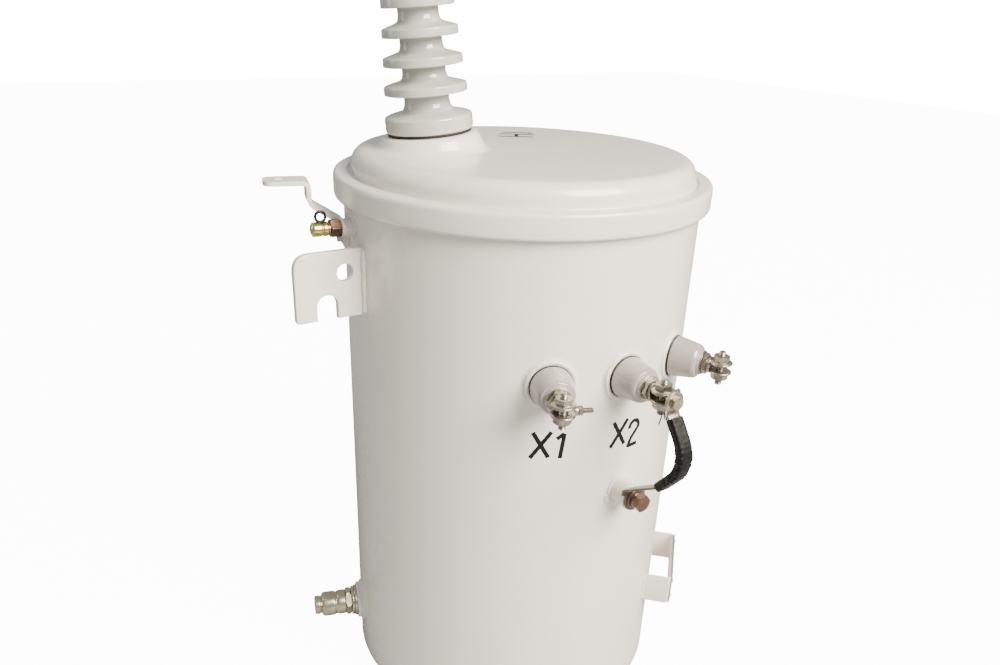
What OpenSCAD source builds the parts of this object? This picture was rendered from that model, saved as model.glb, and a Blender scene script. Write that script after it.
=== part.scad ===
/* [Tank] */
// Outside diameter of the tank
tank_d = 420; // [390:5:450]
// Height of the tank to the top of its rolled rim
tank_h = 647; // [600:1:700]
// Thickness of the tank sheet
tank_t = 3; // [2.5:0.5:4]
// Thickness of the tank bottom plate
bottom_t = 5; // [4:0.5:8]
// Height of the rolled rim
rim_h = 9; // [7:0.5:12]
// How far the rolled rim stands out from the wall
rim_out = 7.5; // [6:0.5:10]

/* [Cover] */
// Thickness of the rim gasket
rim_gasket_t = 5; // [3:0.5:7]
// Thickness of the cover rim held by the band
cover_rim_t = 9; // [7:0.5:12]
// Height of the raised dome over the cover rim
dome_h = 26; // [22:1:34]
// Radius of the dome shoulder
dome_edge_r = 16; // [10:1:18]
// Thickness of the cover sheet
cover_t = 3; // [2.5:0.5:4]
// Gap between the dome side and the inner edge of the band
groove_w = 5; // [3:0.5:8]

/* [Band] */
// Thickness of the clamping band
band_t = 2.5; // [2:0.5:3.5]
// Clear gap between the band and the rims
band_gap = 0.5; // [0.3:0.1:1]
// Direction of the band bolt round the tank
band_a = 130; // [100:5:160]
// Angle cut out of the band at its bolt
band_cut_a = 5; // [4:1:8]
// Diameter of the band bolt
band_bolt_d = 10; // [8:1:12]

/* [High voltage bushing] */
// Direction of the high voltage bushing round the tank
hv_a = -113; // [-120:1:-108]
// Distance of the high voltage bushing from the tank axis
hv_r = 108; // [100:1:114]
// Lean of the high voltage bushing outwards
hv_tilt = 6; // [0:0.5:9]
// Height of the raised pad under the bushing
hv_pad_h = 18; // [16:1:22]
// Radius of the raised pad at its foot
hv_pad_r = 66; // [62:1:68]
// Thickness of the bushing gasket
hv_gasket_t = 3; // [2:0.5:5]
// Radius of the bushing flange
hv_flange_r = 49.5; // [47:0.5:52]
// Height of the bushing flange
hv_flange_h = 17; // [14:1:20]
// Height of the lowest shed over the flange foot
hv_shed_z = 39.5; // [37:0.5:44]
// Distance from one shed to the next
hv_shed_step = 29; // [27:1:34]
// Radius of the lowest shed
hv_shed_r = 46.5; // [44:0.5:49]
// How much smaller each shed is than the one below
hv_shed_less = 2.3; // [1.5:0.1:2.6]
// Height of a shed rim
hv_shed_t = 9; // [7:0.5:11]
// Height of the sloping top of a shed
hv_slope_h = 6; // [4:0.5:8]
// Radius of the neck at the flange
hv_neck_r = 26; // [24:0.5:28]
// Radius of the neck at the top
hv_top_r = 20; // [18:0.5:22]
// Radius of the stem that goes into the tank
hv_stem_r = 22; // [20:0.5:23.5]
// Length of the stem below the gasket
hv_stem_l = 90; // [60:5:120]
// Radius of the metal cap on the bushing
hv_cap_r = 17; // [15:0.5:18]
// Radius of the high voltage stud
hv_stud_r = 8; // [6:0.5:9]
// Radius of the jaws of the high voltage clamp
hv_jaw_r = 17; // [15:0.5:20]
// Gap between the jaws of the high voltage clamp
hv_jaw_gap = 10; // [7:0.5:12]

/* [Low voltage bushings] */
// Angle between two low voltage bushings
lv_step_a = 24.5; // [22:0.5:27]
// Height of the low voltage bushings
lv_z = 480; // [460:1:500]
// Radius of the welded collar
lv_collar_r = 29; // [28:0.5:30]
// Height of the welded collar
lv_collar_h = 2.5; // [2.5:0.5:6]
// Radius of the low voltage gasket
lv_gasket_r = 24.2; // [24:0.1:25]
// Thickness of the low voltage gasket
lv_gasket_t = 2; // [1.5:0.5:3]
// Radius of the porcelain at the gasket
lv_body_r = 23.5; // [21.5:0.5:23.5]
// Radius of the porcelain at its outer end
lv_end_r = 19.5; // [18.5:0.5:20]
// Length of the porcelain cone
lv_body_l = 30; // [26:1:34]
// Radius of the step on the porcelain end
lv_tip_r = 14.5; // [14:0.5:16]
// Length of the step on the porcelain end
lv_tip_l = 3.5; // [3:0.5:5]
// Radius of the porcelain stem in the wall
lv_stem_r = 15; // [13:0.5:16]
// Radius of the low voltage stud
lv_stud_r = 6; // [5:0.5:7]
// Size across the flats of the low voltage nut
lv_nut_af = 22; // [20:1:24]
// Distance from the porcelain end to the clamp bolt
lv_clamp_l = 21; // [20.5:0.5:25]
// Radius of the jaws of the low voltage clamp
lv_jaw_r = 13; // [12:0.5:13]
// Gap between the jaws of the low voltage clamp
lv_jaw_gap = 7; // [6:0.5:9]

/* [Ground strap] */
// Height of the ground boss
ground_z = 333; // [325:1:345]
// Sideways distance of the ground boss from the middle of the strap
ground_x = 11.5; // [8:0.5:14]
// Radius of the ground boss
ground_r = 16.5; // [15:0.5:20]
// Height of the ground boss over the wall
ground_h = 24; // [20:1:26]
// Diameter of the ground bolt
ground_bolt_d = 12; // [10:1:14]
// Thickness of the strap lugs
lug_t = 3; // [2:0.5:4]
// Width of the strap lugs
lug_w = 24; // [22:1:28]
// Width of the strap sleeve
strap_w = 18; // [16:1:20]
// Thickness of the strap sleeve
strap_t = 11; // [9:0.5:12]
// Radius of the bend in the strap sleeve
strap_bend_r = 38; // [32:1:40]
// Direction of the upper strap sleeve below level
strap_top_a = 54; // [50:1:58]
// Direction of the lower strap sleeve above level
strap_low_a = 50; // [46:1:54]

/* [Lifting and support lugs] */
// Thickness of the lifting lugs
lift_t = 8; // [6:0.5:10]
// Height of the underside of the lifting lugs
lift_z = 520; // [505:1:530]
// Height of the lifting lug plates
lift_h = 76; // [70:1:84]
// Reach of the lifting lugs from the tank wall
lift_out = 80; // [74:1:86]
// Radius of the sling notch in a lifting lug
lift_notch_r = 12; // [10:0.5:14]
// Diameter of the hole in a lifting lug
lift_hole_d = 19; // [16:0.5:22]
// Height of the lower support lug
support_z = 190; // [180:1:200]
// Height from the lower to the upper support lug
support_step = 286; // [280:1:292]
// Height of a support lug
support_h = 90; // [84:1:100]
// Width of a support lug
support_w = 116; // [110:2:124]
// Thickness of the support lug plates
support_t = 6; // [5:0.5:8]
// Distance from the wall to the face on the pole side
support_out = 60; // [50:1:70]
// Width of the bolt slot in a support lug
slot_w = 17.5; // [16:0.5:20]
// Length of the bolt slot in a support lug
slot_l = 50; // [44:1:56]

/* [Arrester bracket] */
// Direction of the arrester bracket round the tank
arrester_a = -106; // [-108:1:-104]
// Width of the arrester bracket bar
arrester_w = 32; // [28:1:34]
// Thickness of the arrester bracket bar
arrester_t = 5; // [4:0.5:6]
// Height of the foot of the arrester bracket
arrester_z = 583; // [580:1:590]
// Height of the slope foot over the bracket foot
arrester_foot_h = 28; // [26:1:32]
// Reach of the bracket slope past the wall
arrester_out = 43; // [40:1:50]
// Height of the pad over the bracket foot
arrester_h = 76; // [72:1:80]
// Length of the bracket pad
arrester_pad_l = 50; // [46:1:54]
// Diameter of the hole in the bracket pad
arrester_hole_d = 13; // [11:0.5:15]

/* [Valves and plate] */
// Direction of the relief valve round the tank
relief_a = -97; // [-98:0.5:-96.5]
// Height of the relief valve
relief_z = 612; // [608:0.5:614]
// Radius of the relief valve body
relief_r = 8; // [7:0.5:9]
// Direction of the drain valve round the tank
drain_a = -108; // [-115:1:-100]
// Height of the drain valve
drain_z = 66; // [60:1:80]
// Radius of the drain valve body
drain_r = 17; // [15:0.5:18]
// Direction of the plate bracket round the tank
plate_a = 44; // [38:1:50]
// Height of the underside of the plate bracket
plate_z = 112; // [100:1:130]
// Height of the plate bracket strap
plate_h = 42; // [36:1:46]
// Width of the plate bracket
plate_w = 108; // [100:2:116]
// Distance from the tank axis to the bracket strap over the wall radius
plate_out = 26; // [22:1:32]
// Thickness of the bracket strap
plate_t = 3; // [2:0.5:4]

/* [Hidden] */
eps = 0.01;
fit_gap = 0.4;
fine = 96;
hex = 6;
tank_r = tank_d / 2;
rim_r = tank_r + rim_out;
gasket_z = tank_h + rim_gasket_t;
cover_rim_z = gasket_z + cover_rim_t;
dome_z = cover_rim_z + dome_h;
band_in_r = rim_r + band_gap;
band_out_r = band_in_r + band_t;
band_low_z = tank_h - rim_h - band_t;
band_top_z = cover_rim_z + band_t;
band_neck_r = tank_r - 5;
dome_r = band_neck_r - groove_w;
band_ear_l = 22;
band_ear_t = 5;
band_ear_h = 24;
band_z = (band_low_z + band_top_z) / 2;
band_mid_r = band_out_r + band_ear_l / 2;
band_gap_l = band_out_r * sin(band_cut_a);
core_r = 150;
core_h = 430;
core_foot = 25;
coil_r = 120;
coil_h = 330;
hv_pad_top_r = hv_flange_r + 4.5;
hv_pad_edge = 5;
hv_bore_r = hv_stem_r + fit_gap;
hv_foot = hv_pad_h + hv_gasket_t;
hv_sheds = 5;
hv_shed_end = hv_shed_z + (hv_sheds - 1) * hv_shed_step;
hv_body_h = hv_shed_end + 38;
hv_cap_h = 9;
hv_cap_top = hv_body_h + hv_cap_h;
hv_seat_h = 8;
hv_jaw_t = 6;
hv_nut_h = 11;
hv_nut_r = hv_stud_r * 1.85;
hv_jaw_z = hv_cap_top + hv_seat_h;
hv_stud_h = hv_jaw_z + 2 * hv_jaw_t + hv_jaw_gap + hv_nut_h + 8;
lv_foot = lv_collar_h + lv_gasket_t;
lv_end = lv_foot + lv_body_l;
lv_tip = lv_end + lv_tip_l;
lv_hole_r = lv_stem_r + fit_gap;
lv_inner = 34;
lv_collar_ease = 1.5;
lv_washer_t = 1.5;
lv_washer_r = 14;
lv_nut_h = 5.5;
lv_nut_top = lv_tip + lv_washer_t + lv_nut_h;
lv_stud_end = lv_nut_top + 4;
lv_bolt_z = lv_tip + lv_clamp_l;
lv_jaw_t = 4.5;
lv_jaw_low = lv_jaw_gap / 2 + lv_jaw_t;
lv_bolt_r = 4;
lv_head_h = 6;
lv_head_r = 9.8;
lv_bolt_up = lv_jaw_low + lv_head_h + 5;
lv_sleeve_r = 9.5;
ground_flange_r = 13;
ground_flange_h = 2;
ground_ring_r = 9;
ground_ring_h = 5;
lug_reach = 50;
lug_rise = 45;
lug_turn = 15;
ground_head_r = 11;
ground_head_h = 8;
ground_depth = 18;
lug_hole_r = ground_bolt_d / 2 + fit_gap;
strap_low_r = tank_r + ground_h + lug_reach;
strap_low_z = ground_z + lug_rise;
lug_seat_l = 2.5;
lug_plane = lv_bolt_z + lv_jaw_r + lug_seat_l;
lug_ring_r = lug_w / 2;
lug_screw_r = 4;
lug_head_h = 5;
lug_head_r = 8;
lug_bend_out = 3;
strap_top_r = tank_r + lug_plane + lug_t / 2 + lug_bend_out;
strap_top_z = lv_z - 17;
strap_lap = 2;
strap_dr = strap_low_r - strap_top_r;
strap_dz = strap_low_z - strap_top_z;
strap_meet = sin(strap_top_a + strap_low_a);
strap_turn = 180 - strap_top_a - strap_low_a;
strap_cut = strap_bend_r * tan(strap_turn / 2);
strap_top_full = (strap_dr * sin(strap_low_a) - strap_dz * cos(strap_low_a)) / strap_meet;
strap_low_full = -(strap_dz * cos(strap_top_a) + strap_dr * sin(strap_top_a)) / strap_meet;
strap_top_l = strap_top_full - strap_cut;
strap_low_l = strap_low_full - strap_cut;
strap_end_r = strap_top_r + strap_top_l * cos(strap_top_a);
strap_end_z = strap_top_z - strap_top_l * sin(strap_top_a);
strap_mid_r = strap_end_r - strap_bend_r * sin(strap_top_a);
strap_mid_z = strap_end_z - strap_bend_r * cos(strap_top_a);
lug_top_bend = strap_top_z + lug_bend_out * tan(strap_top_a);
lug_low_r = tank_r + ground_h + lug_t / 2;
lug_low_bend = ground_z + lug_turn;
weld_r = 5;
lv_bolt_low = lv_head_h + 7;
side_arm_l = 18;
side_arm_w = 8;
side_bolt_r = 3;
side_bolt_l = 25;
side_nut_r = 5.5;
side_nut_h = 6;
lift_hole_r = lift_hole_d / 2;
lift_hole_out = 22;
lift_hole_up = 51;
lift_notch_out = 44;
lift_notch_up = 16;
lift_edge_r = 14;
relief_boss_r = 10;
relief_boss_h = 14;
relief_hex_h = 12;
relief_hex_r = 10.5;
relief_body_h = 21;
relief_ring_r = 7;
relief_wire_r = 1.3;
drain_boss_r = 25;
drain_boss_h = 7;
drain_ring_r = 21.5;
drain_ring_h = 4;
drain_body_h = 41;
drain_stub_r = 13;
drain_stub_h = 10;
drain_hex_r = 19;
plate_y = tank_r + plate_out;
tag_w = 104;
tag_h = 50;
tag_t = 1.2;
rivet_r = 3;
rivet_h = 2;
rivet_out = 46;
steel_c = [0.86, 0.85, 0.82];
porcelain_c = [0.80, 0.80, 0.77];
lv_porcelain_c = [0.66, 0.64, 0.62];
tin_c = [0.72, 0.68, 0.60];
zinc_c = [0.70, 0.55, 0.30];
brass_c = [0.76, 0.68, 0.48];
rubber_c = [0.10, 0.08, 0.07];

// Puts its children on the tank wall: z outwards, y up, x along the wall
module radial(a, z, r) rotate([0, 0, a]) translate([0, -r, z]) rotate([90, 0, 0]) children();

// Puts its children in the upright plane through the tank axis: x outwards, y up
module upright(a) rotate([0, 0, a]) rotate([90, 0, -90]) children();

// Puts its children on the high voltage pad, z along the bushing
module hv_place() {
    rotate([0, 0, hv_a]) translate([0, -hv_r, dome_z]) rotate([hv_tilt, 0, 0]) children();
}

// Solid bar through the whole tank that trims what is welded on the wall
module tank_core() translate([0, 0, -eps]) cylinder(r = tank_r, h = tank_h * 2, $fn = fine * 4);

// Disc with a rounded upper edge
module round_disc(r, h, e) {
    rotate_extrude($fn = fine) {
        square([r - e, h]);
        square([r, h - e]);
        translate([r - e, h - e]) circle(r = e, $fn = fine);
    }
}

// Flat bar between two points of a plane, with round ends
module bar2(p, q, t) {
    len = norm(q - p);
    translate(p) rotate(atan2(q[1] - p[1], q[0] - p[0])) translate([0, -t / 2]) square([len, t]);
    translate(p) circle(d = t, $fn = fine);
}

// Tank shell with its rolled rim and the openings for the low voltage stems
module tank_wall() {
    color(steel_c) difference() {
        rotate_extrude($fn = fine) {
            translate([tank_r - tank_t, 0]) square([tank_t, tank_h]);
            translate([tank_r - tank_t, tank_h - rim_h]) square([tank_t + rim_out, rim_h]);
        }
        for (k = [-1, 0, 1])
            radial(k * lv_step_a, lv_z, tank_r)
                translate([0, 0, -tank_t * 4]) cylinder(r = lv_hole_r, h = tank_t * 8, $fn = fine);
    }
}

// Bottom plate welded inside the wall
module tank_bottom() {
    color(steel_c) cylinder(r = tank_r - tank_t, h = bottom_t, $fn = fine);
}

// Core with its coil, standing on the bottom plate
module core_and_coils() {
    color(zinc_c) {
        translate([-core_r / 2, -core_foot, bottom_t]) cube([core_r, core_foot * 2, core_h]);
        translate([0, 0, bottom_t + core_foot]) cylinder(r = coil_r, h = coil_h, $fn = fine);
    }
}

// Half outline of the cover: rim, dome side, shoulder and top
module cover_outline() {
    rim_in = dome_r - cover_t;
    side_h = dome_z - dome_edge_r - gasket_z;
    shoulder_r = dome_r - dome_edge_r;
    translate([rim_in, gasket_z]) square([rim_r - rim_in, cover_rim_t]);
    translate([rim_in, gasket_z]) square([cover_t, side_h]);
    translate([0, dome_z - cover_t]) square([shoulder_r, cover_t]);
    translate([shoulder_r, dome_z - dome_edge_r]) intersection() {
        difference() {
            circle(r = dome_edge_r, $fn = fine);
            circle(r = dome_edge_r - cover_t, $fn = fine);
        }
        square(dome_edge_r * 2);
    }
}

// Pressed cover with the leaning pad for the high voltage bushing
module cover() {
    color(steel_c) difference() {
        union() {
            rotate_extrude($fn = fine) cover_outline();
            intersection() {
                hv_place() {
                    translate([0, 0, -hv_pad_h])
                        cylinder(r1 = hv_pad_r + hv_pad_edge, r2 = hv_pad_top_r + hv_pad_edge,
                            h = hv_pad_h * 2 - hv_pad_edge, $fn = fine);
                    round_disc(hv_pad_top_r, hv_pad_h, hv_pad_edge);
                }
                translate([0, 0, dome_z - cover_t]) cylinder(r = dome_r, h = hv_pad_h * 3, $fn = fine);
            }
        }
        hv_place() translate([0, 0, -hv_pad_h * 2]) cylinder(r = hv_bore_r, h = hv_pad_h * 4, $fn = fine);
    }
}

// Flat ring that seals the cover on the tank rim
module cover_gasket() {
    color(rubber_c) translate([0, 0, tank_h]) difference() {
        cylinder(r = rim_r, h = rim_gasket_t, $fn = fine);
        translate([0, 0, -eps]) cylinder(r = tank_r - tank_t, h = rim_gasket_t + 2 * eps, $fn = fine);
    }
}

// Channel band that clamps the cover, cut and given two ears at its bolt
module cover_band() {
    band_h = band_top_z - band_low_z;
    ear_x = band_gap_l / 2;
    color(steel_c) difference() {
        union() {
            difference() {
                rotate_extrude($fn = fine) difference() {
                    translate([band_neck_r, band_low_z]) square([band_out_r - band_neck_r, band_h]);
                    translate([0, tank_h - rim_h]) square([band_in_r, band_h - 2 * band_t]);
                    translate([0, 0]) square([tank_r, tank_h - rim_h + eps]);
                }
                rotate([0, 0, band_a])
                    translate([-ear_x, -band_out_r * 2, band_low_z - eps])
                        cube([ear_x * 2, band_out_r * 2, band_h * 2]);
            }
            for (side = [0, 1])
                rotate([0, 0, band_a]) mirror([side, 0, 0])
                    translate([ear_x, -band_out_r - band_ear_l, band_z - band_ear_h / 2])
                        cube([band_ear_t, band_ear_l + band_t, band_ear_h]);
        }
        translate([0, 0, tank_h - rim_h])
            cylinder(r = band_in_r, h = band_h - 2 * band_t, $fn = fine);
        rotate([0, 0, band_a]) translate([-band_out_r, -band_mid_r, band_z]) rotate([0, 90, 0])
            cylinder(d = band_bolt_d + fit_gap, h = band_out_r * 2, $fn = fine);
    }
}

// Bolt and nut that pull the band ears together
module cover_band_bolt() {
    grip = band_gap_l / 2 + band_ear_t;
    head = band_bolt_d * 0.7;
    color(zinc_c) rotate([0, 0, band_a]) translate([0, -band_mid_r, band_z]) rotate([0, 90, 0]) {
        translate([0, 0, -grip]) cylinder(d = band_bolt_d, h = grip * 2 + head + 6, $fn = fine);
        translate([0, 0, -grip - head]) cylinder(r = band_bolt_d, h = head, $fn = hex);
        translate([0, 0, grip]) cylinder(r = band_bolt_d, h = head, $fn = hex);
    }
}

// Ring between the pad and the bushing flange
module hv_gasket() {
    color(rubber_c) hv_place() translate([0, 0, hv_pad_h]) difference() {
        cylinder(r = hv_flange_r - 2, h = hv_gasket_t, $fn = fine);
        translate([0, 0, -eps]) cylinder(r = hv_bore_r, h = hv_gasket_t + 2 * eps, $fn = fine);
    }
}

// Half outline of the high voltage porcelain, from its flange foot up
module hv_outline() {
    polygon([[0, -hv_stem_l], [hv_stem_r, -hv_stem_l], [hv_stem_r, 0], [hv_flange_r, 0],
        [hv_flange_r, hv_flange_h], [hv_neck_r, hv_flange_h + hv_slope_h],
        [hv_top_r, hv_body_h], [0, hv_body_h]]);
    for (k = [0:hv_sheds - 1]) {
        z = hv_shed_z + k * hv_shed_step;
        r = hv_shed_r - k * hv_shed_less;
        translate([0, z]) polygon([[0, 0], [r - 1, 0], [r, 1], [r, hv_shed_t],
            [hv_top_r, hv_shed_t + hv_slope_h + 2], [0, hv_shed_t + hv_slope_h + 2]]);
    }
}

// High voltage porcelain with five sheds
module hv_bushing() {
    color(porcelain_c) hv_place() translate([0, 0, hv_foot]) rotate_extrude($fn = fine) hv_outline();
}

// Metal cap and threaded stud on the high voltage porcelain
module hv_terminal() {
    color(tin_c) hv_place() translate([0, 0, hv_foot]) {
        translate([0, 0, hv_body_h]) cylinder(r = hv_cap_r, h = hv_cap_h, $fn = fine);
        translate([0, 0, hv_cap_top]) cylinder(r = hv_stud_r, h = hv_stud_h - hv_cap_top, $fn = fine);
    }
}

// Lower jaw of the high voltage clamp, seated on the cap
module hv_clamp_lower() {
    color(tin_c) hv_place() translate([0, 0, hv_foot + hv_cap_top]) difference() {
        union() {
            cylinder(r = hv_stud_r * 1.6, h = hv_seat_h, $fn = fine);
            translate([0, 0, hv_seat_h]) cylinder(r = hv_jaw_r, h = hv_jaw_t, $fn = fine);
        }
        translate([0, 0, -eps]) cylinder(r = hv_stud_r, h = hv_seat_h * 4, $fn = fine);
    }
}

// Upper jaw of the high voltage clamp with its hexagon nut
module hv_clamp_upper() {
    color(tin_c) hv_place() translate([0, 0, hv_foot + hv_jaw_z + hv_jaw_t + hv_jaw_gap]) difference() {
        union() {
            cylinder(r = hv_jaw_r, h = hv_jaw_t, $fn = fine);
            translate([0, 0, hv_jaw_t]) cylinder(r = hv_nut_r, h = hv_nut_h, $fn = hex);
        }
        translate([0, 0, -eps]) cylinder(r = hv_stud_r, h = hv_nut_h * 4, $fn = fine);
    }
}

// Round collar welded on the wall round a low voltage stem
module lv_collar(k) {
    color(steel_c) difference() {
        radial(k * lv_step_a, lv_z, tank_r) difference() {
            translate([0, 0, -weld_r]) round_disc(lv_collar_r, lv_collar_h + weld_r, lv_collar_ease);
            translate([0, 0, -weld_r * 2]) cylinder(r = lv_hole_r, h = weld_r * 6, $fn = fine);
        }
        tank_core();
    }
}

// The three rings between the collars and the low voltage porcelain
module lv_gaskets() {
    color(rubber_c) for (k = [-1, 0, 1])
        radial(k * lv_step_a, lv_z, tank_r + lv_collar_h) difference() {
            cylinder(r = lv_gasket_r, h = lv_gasket_t, $fn = fine);
            translate([0, 0, -eps]) cylinder(r = lv_hole_r, h = lv_gasket_t + 2 * eps, $fn = fine);
        }
}

// Low voltage porcelain: stem in the wall, outer cone and end step
module lv_bushing(k) {
    color(lv_porcelain_c) radial(k * lv_step_a, lv_z, tank_r) difference() {
        rotate_extrude($fn = fine) polygon([[0, -lv_inner], [lv_stem_r, -lv_inner],
            [lv_stem_r, lv_foot], [lv_body_r, lv_foot], [lv_end_r, lv_end - 1.5],
            [lv_end_r - 1.5, lv_end], [lv_tip_r, lv_end], [lv_tip_r, lv_tip], [0, lv_tip]]);
        translate([0, 0, -lv_inner - eps])
            cylinder(r = lv_stud_r + fit_gap, h = lv_inner * 4, $fn = fine);
    }
}

// Low voltage stud with the washer and nut on the porcelain end
module lv_stud(k) {
    color(tin_c) radial(k * lv_step_a, lv_z, tank_r) {
        translate([0, 0, -lv_inner * 1.5])
            cylinder(r = lv_stud_r, h = lv_stud_end + lv_inner * 1.5, $fn = fine);
        translate([0, 0, lv_tip]) cylinder(r = lv_washer_r, h = lv_washer_t, $fn = fine);
        translate([0, 0, lv_tip + lv_washer_t])
            cylinder(d = lv_nut_af / cos(180 / hex), h = lv_nut_h, $fn = hex);
    }
}

// Side arm of a clamp with its bolt and nut
module clamp_side_bolt() {
    translate([0, -lv_jaw_low, lv_nut_top + 1]) cube([side_arm_l, lv_jaw_t, side_arm_w]);
    translate([side_arm_l / 2, -lv_jaw_low + lv_jaw_t / 2, lv_nut_top + 1 + side_arm_w / 2])
        rotate([0, 90, 0]) {
            cylinder(r = side_bolt_r, h = side_bolt_l, $fn = fine);
            translate([0, 0, side_arm_l / 2 - 1]) cylinder(r = side_nut_r, h = side_nut_h, $fn = hex);
        }
}

// Low voltage clamp body: sleeve on the stud, web, side arm and lower jaw
module lv_clamp(k) {
    color(tin_c) radial(k * lv_step_a, lv_z, tank_r) difference() {
        union() {
            translate([0, 0, lv_nut_top])
                cylinder(r = lv_sleeve_r, h = lv_stud_end - lv_nut_top, $fn = fine);
            translate([-lv_stud_r, -lv_jaw_low, lv_nut_top])
                cube([lv_stud_r * 2, lv_jaw_t, lv_bolt_z - lv_nut_top]);
            translate([0, -lv_jaw_low, lv_bolt_z]) rotate([-90, 0, 0])
                cylinder(r = lv_jaw_r, h = lv_jaw_t, $fn = fine);
            clamp_side_bolt();
        }
        translate([0, 0, lv_nut_top - eps])
            cylinder(r = lv_stud_r, h = lv_stud_end - lv_nut_top + 2 * eps, $fn = fine);
        translate([0, -lv_jaw_low * 2, lv_bolt_z]) rotate([-90, 0, 0])
            cylinder(r = lv_bolt_r, h = lv_jaw_low * 4, $fn = fine);
    }
}

// Pad on the middle clamp that the strap lug is screwed to
module lug_pad() {
    pad_r = lug_head_r - 1;
    pad_z = lv_bolt_z + lv_jaw_r;
    color(tin_c) radial(0, lv_z, tank_r) difference() {
        union() {
            translate([0, 0, pad_z + fit_gap])
                cylinder(r = pad_r, h = lug_seat_l - fit_gap, $fn = fine);
            translate([-pad_r, -lv_jaw_low, pad_z - lug_seat_l])
                cube([pad_r * 2, lv_jaw_t, lug_seat_l * 2]);
        }
        translate([0, 0, pad_z - eps])
            cylinder(r = lug_screw_r, h = lug_seat_l * 2, $fn = fine);
    }
}

// Upright clamp bolt with its head, upper jaw and nut
module lv_clamp_bolt(k) {
    grip = lv_jaw_gap / 2;
    color(tin_c) radial(k * lv_step_a, lv_z, tank_r) difference() {
        translate([0, 0, lv_bolt_z]) rotate([-90, 0, 0]) {
            translate([0, 0, -lv_jaw_low - lv_head_h])
                cylinder(r = lv_head_r, h = lv_head_h, $fn = hex);
            translate([0, 0, -lv_jaw_low - lv_bolt_low])
                cylinder(r = lv_bolt_r, h = lv_jaw_low + lv_bolt_low + lv_bolt_up, $fn = fine);
            translate([0, 0, grip]) cylinder(r = lv_jaw_r, h = lv_jaw_t, $fn = fine);
            translate([0, 0, grip + lv_jaw_t]) cylinder(r = lv_head_r, h = lv_head_h, $fn = hex);
        }
        translate([0, 0, lv_nut_top - eps])
            cylinder(r = lv_sleeve_r + fit_gap, h = lv_stud_end - lv_nut_top + fit_gap, $fn = fine);
    }
}

// Place of the ground boss, beside the middle of the strap
module ground_at(r) {
    translate([ground_x, 0, 0]) radial(0, ground_z, r) children();
}

// Round boss welded on the wall for the ground bolt
module ground_boss() {
    color(steel_c) difference() {
        ground_at(tank_r) difference() {
            translate([0, 0, -weld_r]) round_disc(ground_r, ground_h + weld_r, weld_r / 2);
            translate([0, 0, ground_h - ground_depth])
                cylinder(d = ground_bolt_d, h = ground_depth * 2, $fn = fine);
        }
        tank_core();
    }
}

// Flanged hexagon bolt with its lock rings that holds the lower lug
module ground_bolt() {
    rings = ground_flange_h + ground_ring_h;
    color(zinc_c) ground_at(tank_r + ground_h + lug_t) {
        translate([0, 0, -lug_t - ground_depth + 1])
            cylinder(d = ground_bolt_d, h = lug_t + ground_depth, $fn = fine);
        cylinder(r = ground_flange_r, h = ground_flange_h, $fn = fine);
        cylinder(r = ground_ring_r, h = rings + 1, $fn = fine);
        translate([0, 0, rings]) cylinder(r = ground_head_r, h = ground_head_h, $fn = hex);
    }
}

// Lug screwed to the middle clamp, bent into the sleeve
module ground_lug_top() {
    r = tank_r + lug_plane + lug_t / 2;
    color(tin_c) difference() {
        union() {
            radial(0, lv_z, tank_r + lug_plane) cylinder(r = lug_ring_r, h = lug_t, $fn = fine);
            upright(0) linear_extrude(strap_w, center = true) {
                bar2([r, lv_z], [r, lug_top_bend], lug_t);
                bar2([r, lug_top_bend], [strap_top_r, strap_top_z], lug_t);
            }
        }
        radial(0, lv_z, tank_r) cylinder(r = lug_screw_r + fit_gap, h = lug_plane * 2, $fn = fine);
    }
}

// Screw that holds the upper lug on the clamp pad
module ground_lug_screw() {
    color(zinc_c) radial(0, lv_z, tank_r + lug_plane) {
        translate([0, 0, fit_gap - lug_seat_l])
            cylinder(r = lug_screw_r, h = lug_seat_l - fit_gap + lug_t, $fn = fine);
        translate([0, 0, lug_t]) cylinder(r = lug_head_r, h = lug_head_h, $fn = hex);
    }
}

// Lug under the ground bolt, bent into the sleeve
module ground_lug_bottom() {
    color(zinc_c) difference() {
        union() {
            ground_at(tank_r + ground_h) cylinder(r = lug_ring_r + 1, h = lug_t, $fn = fine);
            upright(0) linear_extrude(strap_w, center = true) {
                bar2([lug_low_r, ground_z - weld_r], [lug_low_r, lug_low_bend], lug_t);
                bar2([lug_low_r, lug_low_bend], [strap_low_r, strap_low_z], lug_t);
            }
        }
        ground_at(tank_r) cylinder(r = lug_hole_r, h = ground_h * 3, $fn = fine);
        ground_at(tank_r + ground_h + lug_t) cylinder(r = ground_flange_r, h = 40, $fn = fine);
    }
}

// Side outline of the strap: two straight runs and the bend between them
module strap_outline() {
    low_a = strap_low_a - 90;
    high_a = 90 - strap_top_a;
    far = strap_bend_r * 2;
    translate([strap_top_r, strap_top_z]) rotate(-strap_top_a)
        translate([0, -strap_t / 2]) square([strap_top_l + strap_lap, strap_t]);
    translate([strap_low_r, strap_low_z]) rotate(strap_low_a)
        translate([0, -strap_t / 2]) square([strap_low_l + strap_lap, strap_t]);
    translate([strap_mid_r, strap_mid_z]) intersection() {
        difference() {
            circle(r = strap_bend_r + strap_t / 2, $fn = fine);
            circle(r = strap_bend_r - strap_t / 2, $fn = fine);
        }
        polygon([[0, 0], [far * cos(low_a), far * sin(low_a)], [far, 0],
            [far * cos(high_a), far * sin(high_a)]]);
    }
}

// Sleeved ground strap from the upper to the lower lug
module ground_strap() {
    color(rubber_c) upright(0) linear_extrude(strap_w, center = true) strap_outline();
}

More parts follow.
